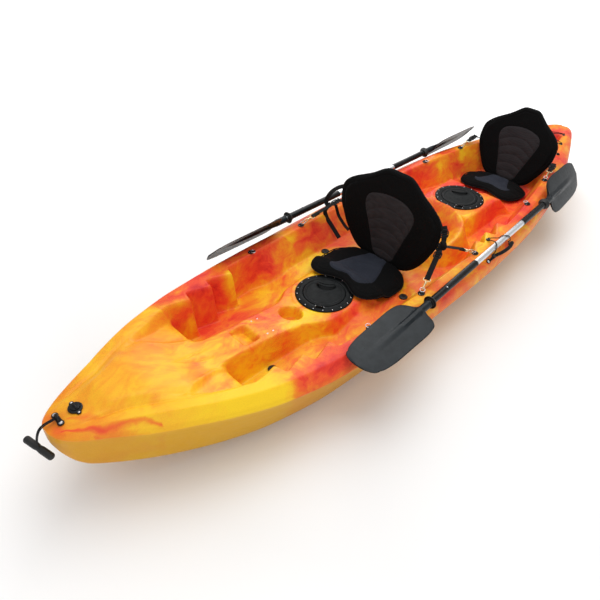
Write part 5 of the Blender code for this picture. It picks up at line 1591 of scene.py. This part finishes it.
def simulate(name, verts, faces, voxel, pressure, cap, pinned=None, stiffness=12):
    """Blows a closed form up like a stuffed cushion, no further than the cap, and gives its mesh."""
    mesh = bpy.data.meshes.new(name + "_form")
    mesh.from_pydata([tuple(v) for v in verts], [], [tuple(f) for f in faces])
    mesh.update()
    bm = bmesh.new()
    bm.from_mesh(mesh)
    bmesh.ops.recalc_face_normals(bm, faces=bm.faces)
    bm.to_mesh(mesh)
    bm.free()
    form = put_in_scene(bpy.data.objects.new(name + "_form", mesh))
    remesh = form.modifiers.new("remesh", "REMESH")
    remesh.mode = "VOXEL"
    remesh.voxel_size = voxel
    remesh.adaptivity = 0
    graph = bpy.context.evaluated_depsgraph_get()
    start = bpy.data.meshes.new_from_object(form.evaluated_get(graph))
    bpy.data.objects.remove(form)
    before = points_of(start)
    after = before
    body = put_in_scene(bpy.data.objects.new(name + "_cloth", start.copy()))
    if pinned is not None:
        group = body.vertex_groups.new(name="pin")
        for index in np.nonzero([pinned(*p) for p in before])[0]:
            group.add([int(index)], 1.0, "ADD")
    cloth = body.modifiers.new("cloth", "CLOTH")
    settings = cloth.settings
    settings.quality = 5
    settings.mass = 0.3
    settings.tension_stiffness = stiffness
    settings.compression_stiffness = stiffness
    settings.shear_stiffness = stiffness * 0.6
    settings.bending_stiffness = 0.6
    settings.use_pressure = True
    settings.uniform_pressure_force = pressure
    settings.effector_weights.gravity = 0
    if pinned is not None:
        settings.vertex_group_mass = "pin"
    cloth.point_cache.frame_start = 1
    cloth.point_cache.frame_end = SIM_FRAMES
    scene = bpy.context.scene
    for number in range(1, SIM_FRAMES + 1):
        scene.frame_set(number)
    graph = bpy.context.evaluated_depsgraph_get()
    blown = body.evaluated_get(graph).to_mesh()
    after = points_of(blown)
    bpy.data.objects.remove(body)
    scene.frame_set(1)
    move = after - before
    length = np.linalg.norm(move, axis=1)
    move *= np.minimum(1.0, cap / np.maximum(length, 1e-9))[:, None]
    start.vertices.foreach_set("co", (before + move).ravel())
    start.update()
    bm = bmesh.new()
    bm.from_mesh(start)
    bmesh.ops.smooth_vert(bm, verts=bm.verts, factor=0.5, use_axis_x=True, use_axis_y=True, use_axis_z=True)
    bmesh.ops.smooth_vert(bm, verts=bm.verts, factor=0.4, use_axis_x=True, use_axis_y=True, use_axis_z=True)
    bm.to_mesh(start)
    bm.free()
    fine = put_in_scene(bpy.data.objects.new(name + "_fine", start))
    fine.modifiers.new("smooth", "SUBSURF").levels = 1
    graph = bpy.context.evaluated_depsgraph_get()
    mesh = bpy.data.meshes.new_from_object(fine.evaluated_get(graph))
    bpy.data.objects.remove(fine)
    return mesh


def spread(values, low, high):
    """Stretches values so that they run from low to high."""
    start, end = float(values.min()), float(values.max())
    return low + (values - start) * (high - low) / (end - start)


def silhouette(u, v, centre, count=150):
    """The outermost points of a flat cloud, one for each direction from its centre, smoothed."""
    angle = np.arctan2(v - centre[1], u - centre[0])
    reach = np.hypot(u - centre[0], v - centre[1])
    slot = ((angle + math.pi) / (2 * math.pi) * count).astype(int) % count
    most = np.zeros(count)
    np.maximum.at(most, slot, reach)
    for _ in range(3):
        most = 0.25 * np.roll(most, 1) + 0.5 * most + 0.25 * np.roll(most, -1)
    turn = (np.arange(count) + 0.5) / count * 2 * math.pi - math.pi
    return [(centre[0] + r * math.cos(a), centre[1] + r * math.sin(a)) for r, a in zip(most, turn)]


def read(values, key, kind=float):
    """One vector for each element of a mesh's collection, as rows of an array."""
    flat = np.empty(len(values) * 3, kind)
    values.foreach_get(key, flat)
    return flat.reshape(-1, 3).astype(float)


def points_of(mesh):
    return read(mesh.vertices, "co")


def normals_of(mesh):
    return read(mesh.vertex_normals, "vector", np.float32)


def outline_distance(points, outline):
    """Signed distance of flat points to a closed outline, under 0 inside it."""
    p = np.asarray(points, float)
    a = np.asarray(outline, float)
    b = np.roll(a, -1, axis=0)
    best = np.full(len(p), 1e9)
    inside = np.zeros(len(p), bool)
    for (ax, ay), (bx, by) in zip(a, b):
        dx, dy = bx - ax, by - ay
        t = np.clip(((p[:, 0] - ax) * dx + (p[:, 1] - ay) * dy) / max(dx * dx + dy * dy, 1e-12), 0, 1)
        best = np.minimum(best, np.hypot(p[:, 0] - ax - t * dx, p[:, 1] - ay - t * dy))
        if abs(dy) > 1e-12:
            crosses = ((ay > p[:, 1]) != (by > p[:, 1])) & (p[:, 0] < ax + (p[:, 1] - ay) * dx / dy)
            inside ^= crosses
    return np.where(inside, -best, best)


def rounded_outline(points, rounds=3):
    """A closed outline with its corners cut round."""
    p = np.array(points, float)
    for _ in range(rounds):
        q = np.roll(p, -1, axis=0)
        p = np.stack([0.75 * p + 0.25 * q, 0.25 * p + 0.75 * q], 1).reshape(-1, 2)
    return p


def groove(distance, width, depth):
    return -depth * np.exp(-(distance / width) ** 2)


def set_faces(mesh, marks):
    mesh.polygons.foreach_set("material_index", np.asarray(marks, np.int32))


def make_pad(end):
    """A foam seat pad in two lobes, with a piped edge and a slate panel that narrows towards the back."""
    spec = PADS[end]
    front, back = spec["ends"]
    depth, half = back - front, spec["half"]
    base = spec["base"]
    rings = []
    columns, inset = 57, 0.004
    for k in range(columns):
        t = -1 + 2 * k / (columns - 1)
        x = (half - inset) * math.sin(t * math.pi / 2)
        share = abs(math.sin(t * math.pi / 2))
        slim = math.sqrt(max(0.0, 1 - share ** 4))
        near = front + float(np.interp(share, *PAD_LOBES)) * depth + inset
        far = back - depth * 0.30 * share ** 4 - inset
        thick = PAD_THICK * (0.40 + 0.44 * slim)
        ring = []
        steps = 22
        for j in [*range(steps + 1), *range(steps - 1, 0, -1)]:
            v = -1 + 2 * j / steps
            y = 0.5 * (near + far) + 0.5 * (far - near) * math.sin(v * math.pi / 2)
            crown = math.sqrt(max(0.0, 1 - abs(math.sin(v * math.pi / 2)) ** 7))
            share_up = 0.22 + 0.78 * crown if len(ring) <= steps else 0.22 * (1 - crown)
            ring.append((x, y, base(y) + 0.004 + thick * share_up))
        rings.append(ring)
    count = len(rings[0])
    verts = [p for ring in rings for p in ring]
    mesh = simulate(f"{end}_pad", verts, rings_faces(columns, count), 0.0045, 4.0, 0.0075,
                    pinned=lambda x, y, z: z < base(y) + 0.0055)
    points = points_of(mesh)
    normals = normals_of(mesh)
    points[:, 0] = spread(points[:, 0], -half, half)
    points[:, 1] = spread(points[:, 1], front, back)
    low = np.array([base(y) for y in points[:, 1]])
    points[:, 2] = np.maximum(points[:, 2], low + 0.0006)
    # The outline seen from above, first along the front and then back along the rear
    edge = []
    for k in range(122):
        wave = math.sin((-1 + k / 30 if k < 61 else 1 - (k - 61) / 30) * math.pi / 2)
        lobe = float(np.interp(abs(wave), *PAD_LOBES)) * depth
        edge.append((half * wave, front + lobe if k < 61 else back - depth * 0.30 * wave ** 4))
    flat = points[:, :2]
    away = outline_distance(flat, edge)
    middle_y = front + 0.5 * depth
    starboard = [(-0.050, back - 0.004), (-0.062, back - 0.055), (-0.098, back - 0.135), (-0.122, front + 0.105),
                 (-0.104, front + 0.062), (-0.055, front + 0.060)]
    panel = rounded_outline(starboard + [(0.0, front + 0.082)] + [(-x, y) for x, y in reversed(starboard)])
    inside = outline_distance(flat, panel)
    top = np.clip((normals[:, 2] - 0.2) / 0.4, 0, 1)
    push = top * (groove(away + 0.017, 0.0030, 0.0016) + groove(inside, 0.0026, 0.0020)
                  + 0.0022 * soft_step(inside + 0.006, 0.010))
    # Seam round the middle of the side wall, where the top and bottom covers meet.
    wall = 1 - np.clip((np.abs(normals[:, 2]) - 0.35) / 0.4, 0, 1)
    push += wall * groove(points[:, 2] - low - 0.011, 0.0016, 0.0014)
    wrinkle = 0.0007 * np.sin(points[:, 0] * 61 + 2 * np.sin(points[:, 1] * 37)) * np.sin(points[:, 1] * 53 + 1.3)
    push += top * wrinkle
    points += normals * push[:, None]
    points[:, 2] = np.maximum(points[:, 2], low + 0.0006)
    mesh.vertices.foreach_set("co", points.ravel())
    centres, facing = read(mesh.polygons, "center"), read(mesh.polygons, "normal")
    marks = np.zeros(len(centres), int)
    spot = outline_distance(centres[:, :2], panel)
    marks[(spot < 0) & (facing[:, 2] > 0.25)] = 1
    set_faces(mesh, marks)
    pad = dress(f"{end}_seat_cushion", mesh, "kayak", [NEOPRENE, SLATE], f"{end}_seat_pad")
    # Piping sewn along the top edge.
    waist = np.abs(points[:, 2] - low - 0.5 * PAD_THICK) < 0.4 * PAD_THICK
    outer = silhouette(points[waist, 0], points[waist, 1], (0.0, middle_y))
    ring = [Vector((x, y, base(y) + 0.0150)) for x, y in outer]
    piping = Shape()
    piping.add(*sweep(curve_points(ring, 0.004, closed=True), 0.0021, 12, closed=True))
    piping.make(f"{end}_seat_piping", "kayak", PIPING, "seat_fabric")
    return pad


def back_point(spec, x, s, d):
    """A point of the backrest: across, up its slope, and behind (+) or before (-) its middle plane."""
    slope = math.radians(spec["tilt"])
    bend = -spec["wings"] * (abs(x) / 0.27) ** 2
    return Vector((x, spec["y"] + (d + bend) * math.cos(slope) + s * math.sin(slope),
                   0.26 + s * math.cos(slope) - (d + bend) * math.sin(slope)))


def back_place(spec, points):
    """(across, up the slope, behind the middle plane) of points in space."""
    slope = math.radians(spec["tilt"])
    y, z = points[:, 1] - spec["y"], points[:, 2] - 0.26
    s = y * math.sin(slope) + z * math.cos(slope)
    d = y * math.cos(slope) - z * math.sin(slope) + spec["wings"] * (np.abs(points[:, 0]) / 0.27) ** 2
    return points[:, 0], s, d


PANELS = {
    "front": ((-0.048, -0.080), (-0.084, 0.020), (-0.122, 0.110), (-0.146, 0.160), (-0.150, 0.204), (-0.132, 0.238),
              (-0.060, 0.258), (0.020, 0.262), (0.086, 0.250), (0.130, 0.222), (0.140, 0.186), (0.128, 0.140),
              (0.104, 0.070), (0.080, -0.010), (0.060, -0.080)),
    "rear": ((-0.050, -0.068), (-0.078, 0.030), (-0.108, 0.120), (-0.126, 0.160), (-0.130, 0.196), (-0.112, 0.228),
             (-0.050, 0.248), (0.0, 0.252), (0.050, 0.248), (0.110, 0.230), (0.130, 0.196), (0.124, 0.158),
             (0.104, 0.090), (0.078, 0.010), (0.058, -0.068)),
}


def back_outline(spec):
    low, high = spec["shape"][0][0], spec["shape"][-1][0]
    stops = [low + (high - low) * (1 - math.cos(math.pi * k / 48)) / 2 for k in range(49)]
    right = [(max(0.002, float(along(s, spec["shape"]))), s) for s in stops]
    return right + [(-x, s) for x, s in reversed(right)]


def make_back(end):
    """A backrest of shaped foam in neoprene, with a quilted panel and a seam inside its edge."""
    spec = BACKS[end]
    low, high = spec["shape"][0][0], spec["shape"][-1][0]
    rings = []
    rows, columns, inset = 54, 30, 0.005
    for k in range(rows):
        s = low + inset + (high - low - 2 * inset) * (1 - math.cos(math.pi * k / (rows - 1))) / 2
        width = max(0.012, float(along(s, spec["shape"])) - inset)
        slim = 1.0 if 1 < k < rows - 2 else 0.55
        front, rear = [], []
        for j in range(columns + 1):
            t = -1 + 2 * j / columns
            x = width * math.sin(t * math.pi / 2)
            half = 0.5 * BACK_THICK * 0.80 * slim * (1 - 0.55 * abs(t) ** 10)
            front.append(back_point(spec, x, s, -half))
            rear.append(back_point(spec, x, s, half))
        rings.append(front + rear[::-1])
    verts = [p for ring in rings for p in ring]
    mesh = simulate(f"{end}_back", verts, rings_faces(rows, len(rings[0])), 0.005, 4.0, 0.0055)
    points, normals = points_of(mesh), normals_of(mesh)
    x, s, d = back_place(spec, points)
    widest = max(width for _, width in spec["shape"])
    x, s = spread(x, -widest - 0.002, widest + 0.002), spread(s, low - 0.002, high + 0.003)
    points = np.array([back_point(spec, *place) for place in zip(x, s, d)])
    outline = back_outline(spec)
    away = outline_distance(np.stack([x, s], 1), outline)
    panel = rounded_outline(PANELS[end])
    inside = outline_distance(np.stack([x, s], 1), panel)
    ahead = np.array([0, -math.cos(math.radians(spec["tilt"])), math.sin(math.radians(spec["tilt"]))])
    facing = normals @ ahead
    front_side = np.clip((facing - 0.2) / 0.4, 0, 1)
    rear_side = np.clip((-facing - 0.2) / 0.4, 0, 1)
    push = (front_side + rear_side) * groove(away + 0.019, 0.0034, 0.0022)
    push += front_side * (groove(inside, 0.0028, 0.0024) + 0.0015 * soft_step(inside + 0.008, 0.012))
    # Quilting: curved rows of stitching, the foam swelling between them.
    first, last = PANELS[end][0][1], max(p[1] for p in PANELS[end])
    rise = s + 0.35 * x * x / 0.1
    spacing = (last - first) / 6.2
    phase = (rise - first) / spacing
    quilt = np.abs(np.sin(np.pi * phase))
    within = soft_step(inside + 0.004, 0.004) * (s < last - spacing * 1.1)
    push += front_side * within * (0.0042 * quilt ** 0.45 - 0.0032)
    # A broad dart either side of the panel lets the wings wrap round.
    dart = np.abs(np.abs(x) - (0.105 + 0.32 * np.maximum(0, s) * 0.6)) + 0.02 * (s > 0.27)
    push += rear_side * groove(dart, 0.004, 0.0012)
    push += 0.0009 * np.sin(x * 41 + 1.7 * np.sin(s * 31)) * np.sin(s * 47 + 0.4) * (front_side + rear_side)
    points += normals * push[:, None]
    mesh.vertices.foreach_set("co", points.ravel())
    centres, way = read(mesh.polygons, "center"), read(mesh.polygons, "normal")
    cx, cs, _ = back_place(spec, centres)
    spot = outline_distance(np.stack([cx, cs], 1), panel)
    marks = np.zeros(len(centres), int)
    marks[(spot < 0) & (way @ ahead > 0.25)] = 1
    set_faces(mesh, marks)
    back = dress(f"{end}_back_cushion", mesh, spec["body"], [NEOPRENE, QUILT], f"{end}_backrest")
    binding = Shape()
    x, s, d = back_place(spec, points)
    outer = silhouette(x, s, (0.0, 0.5 * (low + high)))
    ring = [back_point(spec, px, ps, 0.0) for px, ps in outer]
    binding.add(*sweep(curve_points(ring, 0.005, closed=True), 0.0026, 12, closed=True, up=(0, 1, 0)))
    binding.make(f"{end}_back_binding", spec["body"], PIPING, "seat_fabric")
    return back


for end in ("front", "rear"):
    make_pad(end)
    make_back(end)


# ------------------------------------------------------------------ straps, buckles and snap hooks

WEB_WIDTH = 0.025
WEB_THICK = 0.0018


def make_bent(shape, piece, mats, slot, replaces=(), sharp=50):
    """Makes a piece on no body, with its placing baked into its mesh."""
    obj = shape.make(piece, None, mats, slot, replaces, sharp)
    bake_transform(obj)


def web_path(points, spacing=0.004):
    return curve_points([Vector(p) for p in points], spacing)


def signed_power(value, power):
    return math.copysign(abs(value) ** power, value)


def squared_ring(centre, way, cross, half_way, half_cross, power, count=40):
    """A ring with squared-off corners; a smaller power squares them more."""
    turns = [2 * math.pi * k / count for k in range(count)]
    return [centre + half_way * signed_power(math.cos(a), power) * way
            + half_cross * signed_power(math.sin(a), power) * cross for a in turns]


def make_snap(shape, clip, way, cross, up):
    """A cast brass snap hook: a hooked nose with a spring gate, a swivel barrel and a square eye for webbing."""
    nose = []
    for k in range(30):
        a = math.radians(-128 + 300 * k / 29)
        reach = 0.0150 + 0.0165 * math.cos(a)
        nose.append(clip + reach * way + 0.0078 * signed_power(math.sin(a), 0.75) * up)
    shape.add(*sweep(nose, lambda t: 0.0027 - 0.0011 * t ** 2, 14, up=tuple(cross)))
    gate = [clip + 0.0030 * way - 0.0066 * up, clip + 0.0120 * way - 0.0080 * up, clip + 0.0262 * way - 0.0068 * up]
    shape.add(*sweep(gate, 0.0019, 12, up=tuple(cross)))
    shape.add(*lathe([(0, -0.0032), (0.0018, -0.0032), (0.0024, -0.0026), (0.0024, 0.0026), (0.0018, 0.0032),
                      (0, 0.0032)], 20), at(clip + 0.0120 * way - 0.0102 * up, up))
    barrel = [(0.0, 0.0290), (0.0042, 0.0290), (0.0052, 0.0305), (0.0052, 0.0345), (0.0040, 0.0360), (0.0040, 0.0385),
              (0.0056, 0.0400), (0.0056, 0.0450), (0.0044, 0.0466), (0.0030, 0.0480), (0, 0.0480)]
    shape.add(*lathe(barrel, 26), at(clip, way))
    eye = squared_ring(clip + 0.0555 * way, way, cross, 0.0075, 0.0150, 0.5)
    shape.add(*sweep(eye, 0.0021, 12, closed=True, up=tuple(up)))


def make_ladder(shape, centre, way, cross, up):
    """A ladder-lock buckle: a bowed frame with three bars and a lift tab."""
    ring = squared_ring(centre, way, cross, 0.0170, 0.0165, 0.45)
    frame = [point + (0.0030 - 8.0 * (point - centre).dot(way) ** 2) * up for point in ring]
    shape.add(*sweep(frame, 0.0027, 12, closed=True, up=tuple(up)))
    for reach in (-0.0060, 0.0060):
        bar = [centre + reach * way + s * 0.0165 * cross + 0.0030 * up for s in (-1, -0.4, 0.4, 1)]
        shape.add(*sweep(bar, 0.0022, 10, up=tuple(up)))
    tab = [centre + reach * way + rise * up for reach, rise in ((0.0170, 0.0010), (0.0215, 0.0035), (0.0260, 0.0080))]
    normals = [up, (up - 0.6 * way).normalized(), (up - 1.2 * way).normalized()]
    shape.add(*ribbon(tab, 0.024, 0.0026, normals))


def make_strap(name, start, hole):
    """A strap from the backrest's edge to its snap hook on a deck eye."""
    way = (start - hole).normalized()
    cross = way.cross(Vector((0, 0, 1))).normalized()
    up = cross.cross(way)
    clip = hole + RING_RADIUS * way
    snap = Shape()
    make_snap(snap, clip, way, cross, up)
    make_bent(snap, f"{name}_snap", BRASS, "brass", f"{name}_hook", 40)
    # The webbing doubles back through the snap's eye and is stitched to itself.
    near = clip + 0.0605 * way
    far = start + 0.006 * way
    main = web_path([near + 0.0016 * up, near + 0.012 * way + 0.0026 * up, near.lerp(far, 0.5) + 0.0014 * up, far])
    web = Shape()
    web.add(*ribbon(main, WEB_WIDTH, WEB_THICK, up))
    turn = ((0.034, -0.0014), (0.010, -0.0018), (-0.0010, -0.0026),
            (-0.0046, 0.0002), (-0.0010, 0.0032), (0.006, 0.0034))
    fold = web_path([near + reach * way + rise * up for reach, rise in turn], 0.0012)
    bends = []
    for k in range(len(fold)):
        tangent = (fold[min(k + 1, len(fold) - 1)] - fold[max(k - 1, 0)]).normalized()
        bends.append(cross.cross(tangent).normalized())
    web.add(*ribbon(fold, WEB_WIDTH * 0.96, WEB_THICK, bends))
    make_bent(web, f"{name}_webbing", WEBBING, "webbing", f"{name}_strap")
    # Bar tacks across the folded end.
    tacks = Shape()
    for reach in (0.012, 0.028):
        line = [near + reach * way + s * 0.0095 * cross + 0.0036 * up for s in (-1, -0.3, 0.3, 1)]
        tacks.add(*sweep(line, 0.0007, 8, up=tuple(up)))
    make_bent(tacks, f"{name}_stitching", PIPING, "webbing", (), 35)
    return way, up


def make_buckle(piece, ends, centre, way, normal):
    shape = Shape()
    cross = way.cross(normal).normalized()
    make_ladder(shape, centre, way, cross, cross.cross(way))
    make_bent(shape, piece, NYLON, "black_nylon", (), 40)


def make_tail(piece, strap, ends, points, first, last, width):
    """A loose end of webbing, its face turning from one direction to another."""
    shape = Shape()
    path = web_path(points)
    faces = [Vector(first).lerp(Vector(last), k / (len(path) - 1)).normalized() for k in range(len(path))]
    shape.add(*ribbon(path, width, 0.0016, faces))
    make_bent(shape, piece, WEBBING, "webbing")


for name, (place, eye, side) in STRAPS.items():
    start = Vector(place)
    hole = eye_hole(EYE_STATIONS[eye], side)
    way, up = make_strap(name, start, hole)
    make_buckle(f"{name}_buckle", (start, hole), start - 0.020 * way, way, up)
    # Behind the edge the webbing turns flat against the backrest, where it is sewn on.
    spec = BACKS[name.split("_")[0]]
    _, level, depth = (v[0] for v in back_place(spec, np.array([place])))
    edge = float(along(level, spec["shape"]))
    rear = Vector((0, math.cos(math.radians(spec["tilt"])), -math.sin(math.radians(spec["tilt"]))))
    stops = [start - 0.004 * way, start + 0.004 * way,
             back_point(spec, side * (edge + 0.008), level + 0.001, 0.5 * depth + 0.012),
             back_point(spec, side * (edge - 0.028), level, 0.0255),
             back_point(spec, side * (edge - 0.085), level, 0.0250),
             back_point(spec, side * (edge - 0.130), level, 0.0250)]
    path = curve_points(stops, 0.004)
    count = len(path)
    turns = [up.lerp(rear, float(ramp(k / (0.45 * count)))).normalized() for k in range(count)]
    anchor = Shape()
    anchor.add(*ribbon(path, WEB_WIDTH, WEB_THICK, turns))
    anchor.make(f"{name}_anchor", spec["body"], WEBBING, "webbing", (), 50)

# Loose webbing of the front seat: its strap, its points, how its face turns, and its width
TAILS = {
    "adjuster_loop": ("front_starboard_forward", (
        (-0.262, -0.108, 0.476), (-0.306, -0.124, 0.460), (-0.345, -0.129, 0.428), (-0.374, -0.133, 0.388),
        (-0.385, -0.138, 0.350), (-0.372, -0.146, 0.338), (-0.348, -0.152, 0.352),
    ), (0.35, -0.6, 0.7), (0.5, -0.5, 0.7), 0.022),
    "long_tail": ("front_starboard_forward", (
        (-0.352, -0.166, 0.338), (-0.362, -0.170, 0.312), (-0.348, -0.168, 0.278), (-0.316, -0.166, 0.248),
        (-0.282, -0.166, 0.220), (-0.252, -0.168, 0.198),
    ), (0.45, -0.6, 0.66), (0.5, -0.45, 0.74), 0.022),
    "short_tail": ("front_starboard_forward", (
        (-0.318, -0.140, 0.356), (-0.308, -0.138, 0.330), (-0.296, -0.136, 0.302), (-0.270, -0.137, 0.280),
        (-0.240, -0.140, 0.262), (-0.214, -0.142, 0.254),
    ), (0.5, -0.6, 0.6), (0.3, -0.5, 0.8), 0.016),
    "adjuster_drop": ("front_port_forward", (
        (0.286, -0.106, 0.500), (0.296, -0.112, 0.488), (0.306, -0.121, 0.462), (0.311, -0.127, 0.436),
        (0.309, -0.132, 0.410), (0.304, -0.136, 0.388),
    ), (0.75, -0.6, 0.1), (0.7, -0.5, 0.5), WEB_WIDTH),
    "folded_tail": ("front_port_forward", (
        (0.309, -0.131, 0.448), (0.322, -0.136, 0.436), (0.326, -0.134, 0.418), (0.316, -0.128, 0.406),
        (0.300, -0.122, 0.410), (0.296, -0.119, 0.424),
    ), (0.6, -0.7, 0.4), (-0.6, -0.6, 0.3), 0.020),
}


def strap_ends(strap):
    start, eye, side = STRAPS[strap]
    return Vector(start), eye_hole(EYE_STATIONS[eye], side)


for piece, (strap, *shape) in TAILS.items():
    make_tail(piece, strap, strap_ends(strap), *shape)
make_buckle("upper_adjuster", strap_ends("front_port_forward"), Vector((0.302, -0.118, 0.470)),
            Vector((-0.15, 0.05, 1.0)).normalized(), Vector((0.75, -0.65, 0.1)))


# ------------------------------------------------------------------ tank well cords

CARGO_EYES = ((0.083, 1.655), (0.137, 1.500), (0.187, 1.345))


def make_cargo_net():
    """Elastic cord laced across the tank well between small nylon eyes on its rim."""
    eyes, steel = Shape(), Shape()
    heads = {}
    for side, _ in SIDES:
        for k, (x, y) in enumerate(CARGO_EYES):
            placed = on_deck(side * x, y, 0.0004)
            dome = [(0, 0), (0.0085, 0), (0.0090, 0.0010), (0.0080, 0.0026), (0.0046, 0.0034), (0, 0.0036)]
            eyes.add(*lathe(dome, 32), placed @ Matrix.Diagonal((0.8, 1.35, 1.0, 1.0)))
            hoop = [(0.0, -0.0062, 0.002), (0.0, -0.0058, 0.0072), (0.0, 0.0, 0.0102), (0.0, 0.0058, 0.0072),
                    (0.0, 0.0062, 0.002)]
            eyes.add(*sweep([placed @ Vector(p) for p in curve_points([Vector(q) for q in hoop], 0.0015)], 0.0021, 12))
            for s in (-0.0092, 0.0092):
                steel.add(*screw_head(0.0021, 0.0011), placed @ shift(0, s, 0.0022))
            heads[side, k] = placed @ Vector((0, 0, 0.0056))
    eyes.make("cargo_eyes", "kayak", NYLON, "black_nylon")
    steel.make("cargo_eye_screws", "kayak", STEEL, "stainless")
    order = [(1, 2), (-1, 1), (1, 0), (-1, 0), (1, 1), (-1, 2)]
    route = []
    for a, b in zip(order, order[1:]):
        first, last = heads[a], heads[b]
        route.append(first)
        for share in (0.2, 0.5, 0.8):
            point = first.lerp(last, share)
            point.z += 0.004 - 0.012 * (1 - abs(2 * share - 1))
            route.append(point)
    route.append(heads[order[-1]])
    cord = Shape()
    cord.add(*sweep(curve_points(route, 0.004), 0.0024, 12))
    for end, toward in ((route[0], route[1]), (route[-1], route[-2])):
        way = (end - toward).normalized()
        knot = [(0, -0.006), (0.0040, -0.006), (0.0052, -0.0035), (0.0054, 0.0), (0.0048, 0.0040), (0, 0.006)]
        cord.add(*lathe(knot, 24), at(end + 0.008 * way, way))
    cord.make("cargo_cord", "kayak", BUNGEE, "bungee")


def make_inserts():
    """Threaded brass inserts moulded into the accessory plate, given the stainless steel material."""
    brass = Shape()
    for x, y in INSERTS:
        placed = shift(x, y, skin(x, y))
        profile = [(0.0016, -0.0030), (0.0016, 0.0002), (0.0020, 0.0006), (0.0034, 0.0006), (0.0038, 0.0001),
                   (0.0038, -0.0030)]
        brass.add(*lathe(profile, 28, closed_profile=False), placed)
        brass.add(*lathe([(0, -0.0030), (0.0017, -0.0030), (0.0017, -0.0024), (0, -0.0024)], 20), placed)
    brass.make("plate_inserts", "kayak", STEEL, "stainless")


make_cargo_net()
make_inserts()
